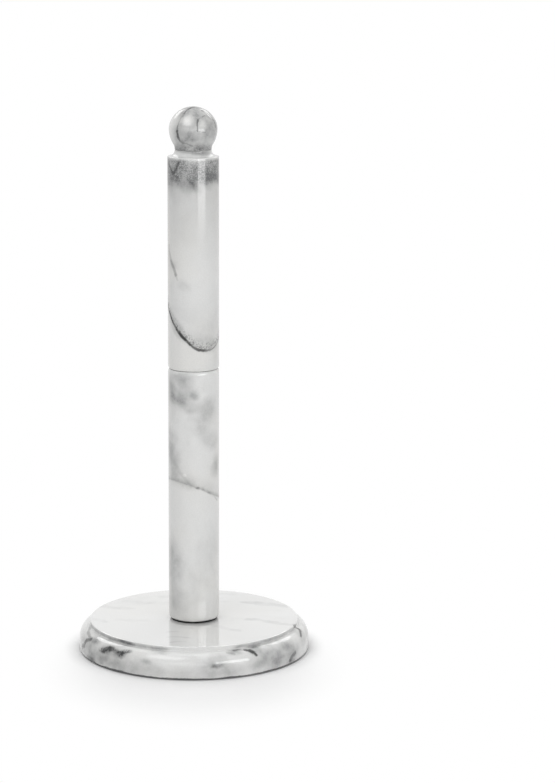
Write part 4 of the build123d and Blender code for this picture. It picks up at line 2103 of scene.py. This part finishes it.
@dataclass(frozen=True)
class Studio:
    """Pale floor, soft light, white surround and the camera.

    Attributes:
        floor_radius: How far the floor reaches.
        floor_sides: Straight runs round its edge.
        floor_colour: Its paint.
        fade_centre: Middle of the part that keeps its shadow.
        fade_reach: How far from there the floor has faded to white, along each axis.
        fade_start: Share of that reach at which it starts to fade.
        contact_radius: Round the axis, where the shadow is always kept.
        contact_fade: How far outside that the fade takes over.
        open_radius: Round the axis, where the floor is open under the base.
        open_edge: How softly that opening ends.
        surround: Colour of the surround.
        fill: Share of its light that falls on the object.
        softboxes: The lights.
        camera_place: Where the camera stands.
        camera_yaw: How far it is turned to the right, in radians.
        camera_pitch: How far it looks down, in radians.
        camera_roll: How far it is tilted, in radians.
        lens: Focal length in millimetres.
        sensor: Width of its sensor in millimetres.
        sight: Nearest and farthest that it sees.
    """

    floor_radius: float = 9.0
    floor_sides: int = 96
    floor_colour: Colour = (0.8, 0.8, 0.8, 1.0)
    fade_centre: Triple = (0.0, -0.04, 0.0)
    fade_reach: Triple = (0.097, 0.125, 1.0)
    fade_start: float = 0.4
    contact_radius: float = 0.0698
    contact_fade: float = 0.012
    open_radius: float = 0.0655
    open_edge: float = 0.001
    surround: Colour = (1.0, 1.0, 1.0, 1.0)
    fill: float = 0.5
    softboxes: tuple[Softbox, ...] = SOFTBOXES
    camera_place: Triple = (0.0, -1.6, 0.48166)
    camera_yaw: float = 0.03158
    camera_pitch: float = 0.19849
    camera_roll: float = 0.00429
    lens: float = 124.45
    sensor: float = 36.0
    sight: Pair = (0.05, 50.0)

    def build(self) -> None:
        """Set up the floor, the lights, the surround and the camera."""
        self.lay_floor()
        for softbox in self.softboxes:
            softbox.place()
        self.hang_surround()
        self.stand_camera()

    def lay_floor(self) -> None:
        """Lay the floor."""
        shape = bmesh.new()
        bmesh.ops.create_circle(
            shape, cap_ends=True, segments=self.floor_sides, radius=self.floor_radius
        )
        mesh = bpy.data.meshes.new("floor")
        shape.to_mesh(mesh)
        shape.free()
        floor = bpy.data.objects.new("floor", mesh)
        bpy.context.scene.collection.objects.link(floor)
        mesh.materials.append(self.floor_paint())

    def floor_paint(self) -> bpy.types.Material:
        """Make a paint that fades to white round the object and is clear from below.

        Returns:
            The material.
        """
        material = bpy.data.materials.new("pale_floor")
        material.use_nodes = True
        material.node_tree.nodes.clear()
        bench = Bench(material.node_tree)
        place = bench.own_place()
        paint = bench.add("BsdfDiffuse", {"Color": self.floor_colour})
        white = bench.add("Emission", {"Color": self.surround, "Strength": 1.0})
        aside = bench.vector("SUBTRACT", place, self.fade_centre)
        share = bench.measure("LENGTH", bench.vector("DIVIDE", aside, self.fade_reach))
        reach = bench.measure("LENGTH", place)
        contact_end = self.contact_radius + self.contact_fade
        clear_of_base = bench.ease(reach, self.contact_radius, contact_end)
        away = bench.ease(share, self.fade_start, 1.0)
        fade = bench.product(self.seen(bench), away, clear_of_base)
        lit = bench.add("MixShader", {0: fade, 1: paint.outputs[0], 2: white.outputs[0]})
        below = bench.add("NewGeometry").outputs["Backfacing"]
        open_end = self.open_radius + self.open_edge
        under_base = bench.ease(reach, self.open_radius, open_end, 1.0, 0.0)
        clear = bench.add("BsdfTransparent")
        feeds = {0: bench.most(below, under_base), 1: lit.outputs[0], 2: clear.outputs[0]}
        surface = bench.add("MixShader", feeds)
        bench.add("OutputMaterial", {"Surface": surface.outputs[0]})
        return material

    def seen(self, bench: Bench) -> Wire:
        """Tell what is seen from what only gives light.

        Args:
            bench: The bench of the floor or the surround.

        Returns:
            1 where it is seen directly, in gloss or through glass, and 0 as fill light.
        """
        path = bench.add("LightPath").outputs
        rays = ("Is Camera Ray", "Is Glossy Ray", "Is Transmission Ray")
        return bench.most(*(path[ray] for ray in rays))

    def hang_surround(self) -> None:
        """Hang the white surround, which gives only part of its light as fill."""
        world = bpy.data.worlds.new("white_surround")
        world.use_nodes = True
        world.node_tree.nodes.clear()
        bench = Bench(world.node_tree)
        strength = bench.ease(self.seen(bench), 0.0, 1.0, self.fill, 1.0)
        glow = bench.add("Background", {"Color": self.surround, "Strength": strength})
        bench.add("OutputWorld", {"Surface": glow.outputs[0]})
        bpy.context.scene.world = world

    def stand_camera(self) -> None:
        """Stand the camera at the photograph's viewing angle."""
        lens = bpy.data.cameras.new("camera")
        lens.sensor_width = self.sensor
        lens.lens = self.lens
        lens.clip_start, lens.clip_end = self.sight
        camera = bpy.data.objects.new("camera", lens)
        yaw, pitch = self.camera_yaw, self.camera_pitch
        level_ahead = Vector((math.sin(yaw), math.cos(yaw), 0.0))
        ahead = level_ahead * math.cos(pitch) - Vector((0.0, 0.0, math.sin(pitch)))
        right = Vector((math.cos(yaw), -math.sin(yaw), 0.0))
        level = Matrix((right, right.cross(ahead), -ahead)).transposed()
        turn = level @ Matrix.Rotation(self.camera_roll, 3, "Z")
        camera.matrix_world = Matrix.Translation(self.camera_place) @ turn.to_4x4()
        bpy.context.scene.collection.objects.link(camera)
        bpy.context.scene.camera = camera
        bpy.context.scene.view_settings.view_transform = "Standard"


def main() -> None:
    """Build the stand from the table up, then light it."""
    logging.basicConfig(level=logging.INFO, format="%(name)s: %(message)s")
    finishes = Finishes()
    StoneBase().build(finishes)
    Post().build(finishes)
    BallFinial().build(finishes)
    Studio().build()


if __name__ == "__main__":
    main()
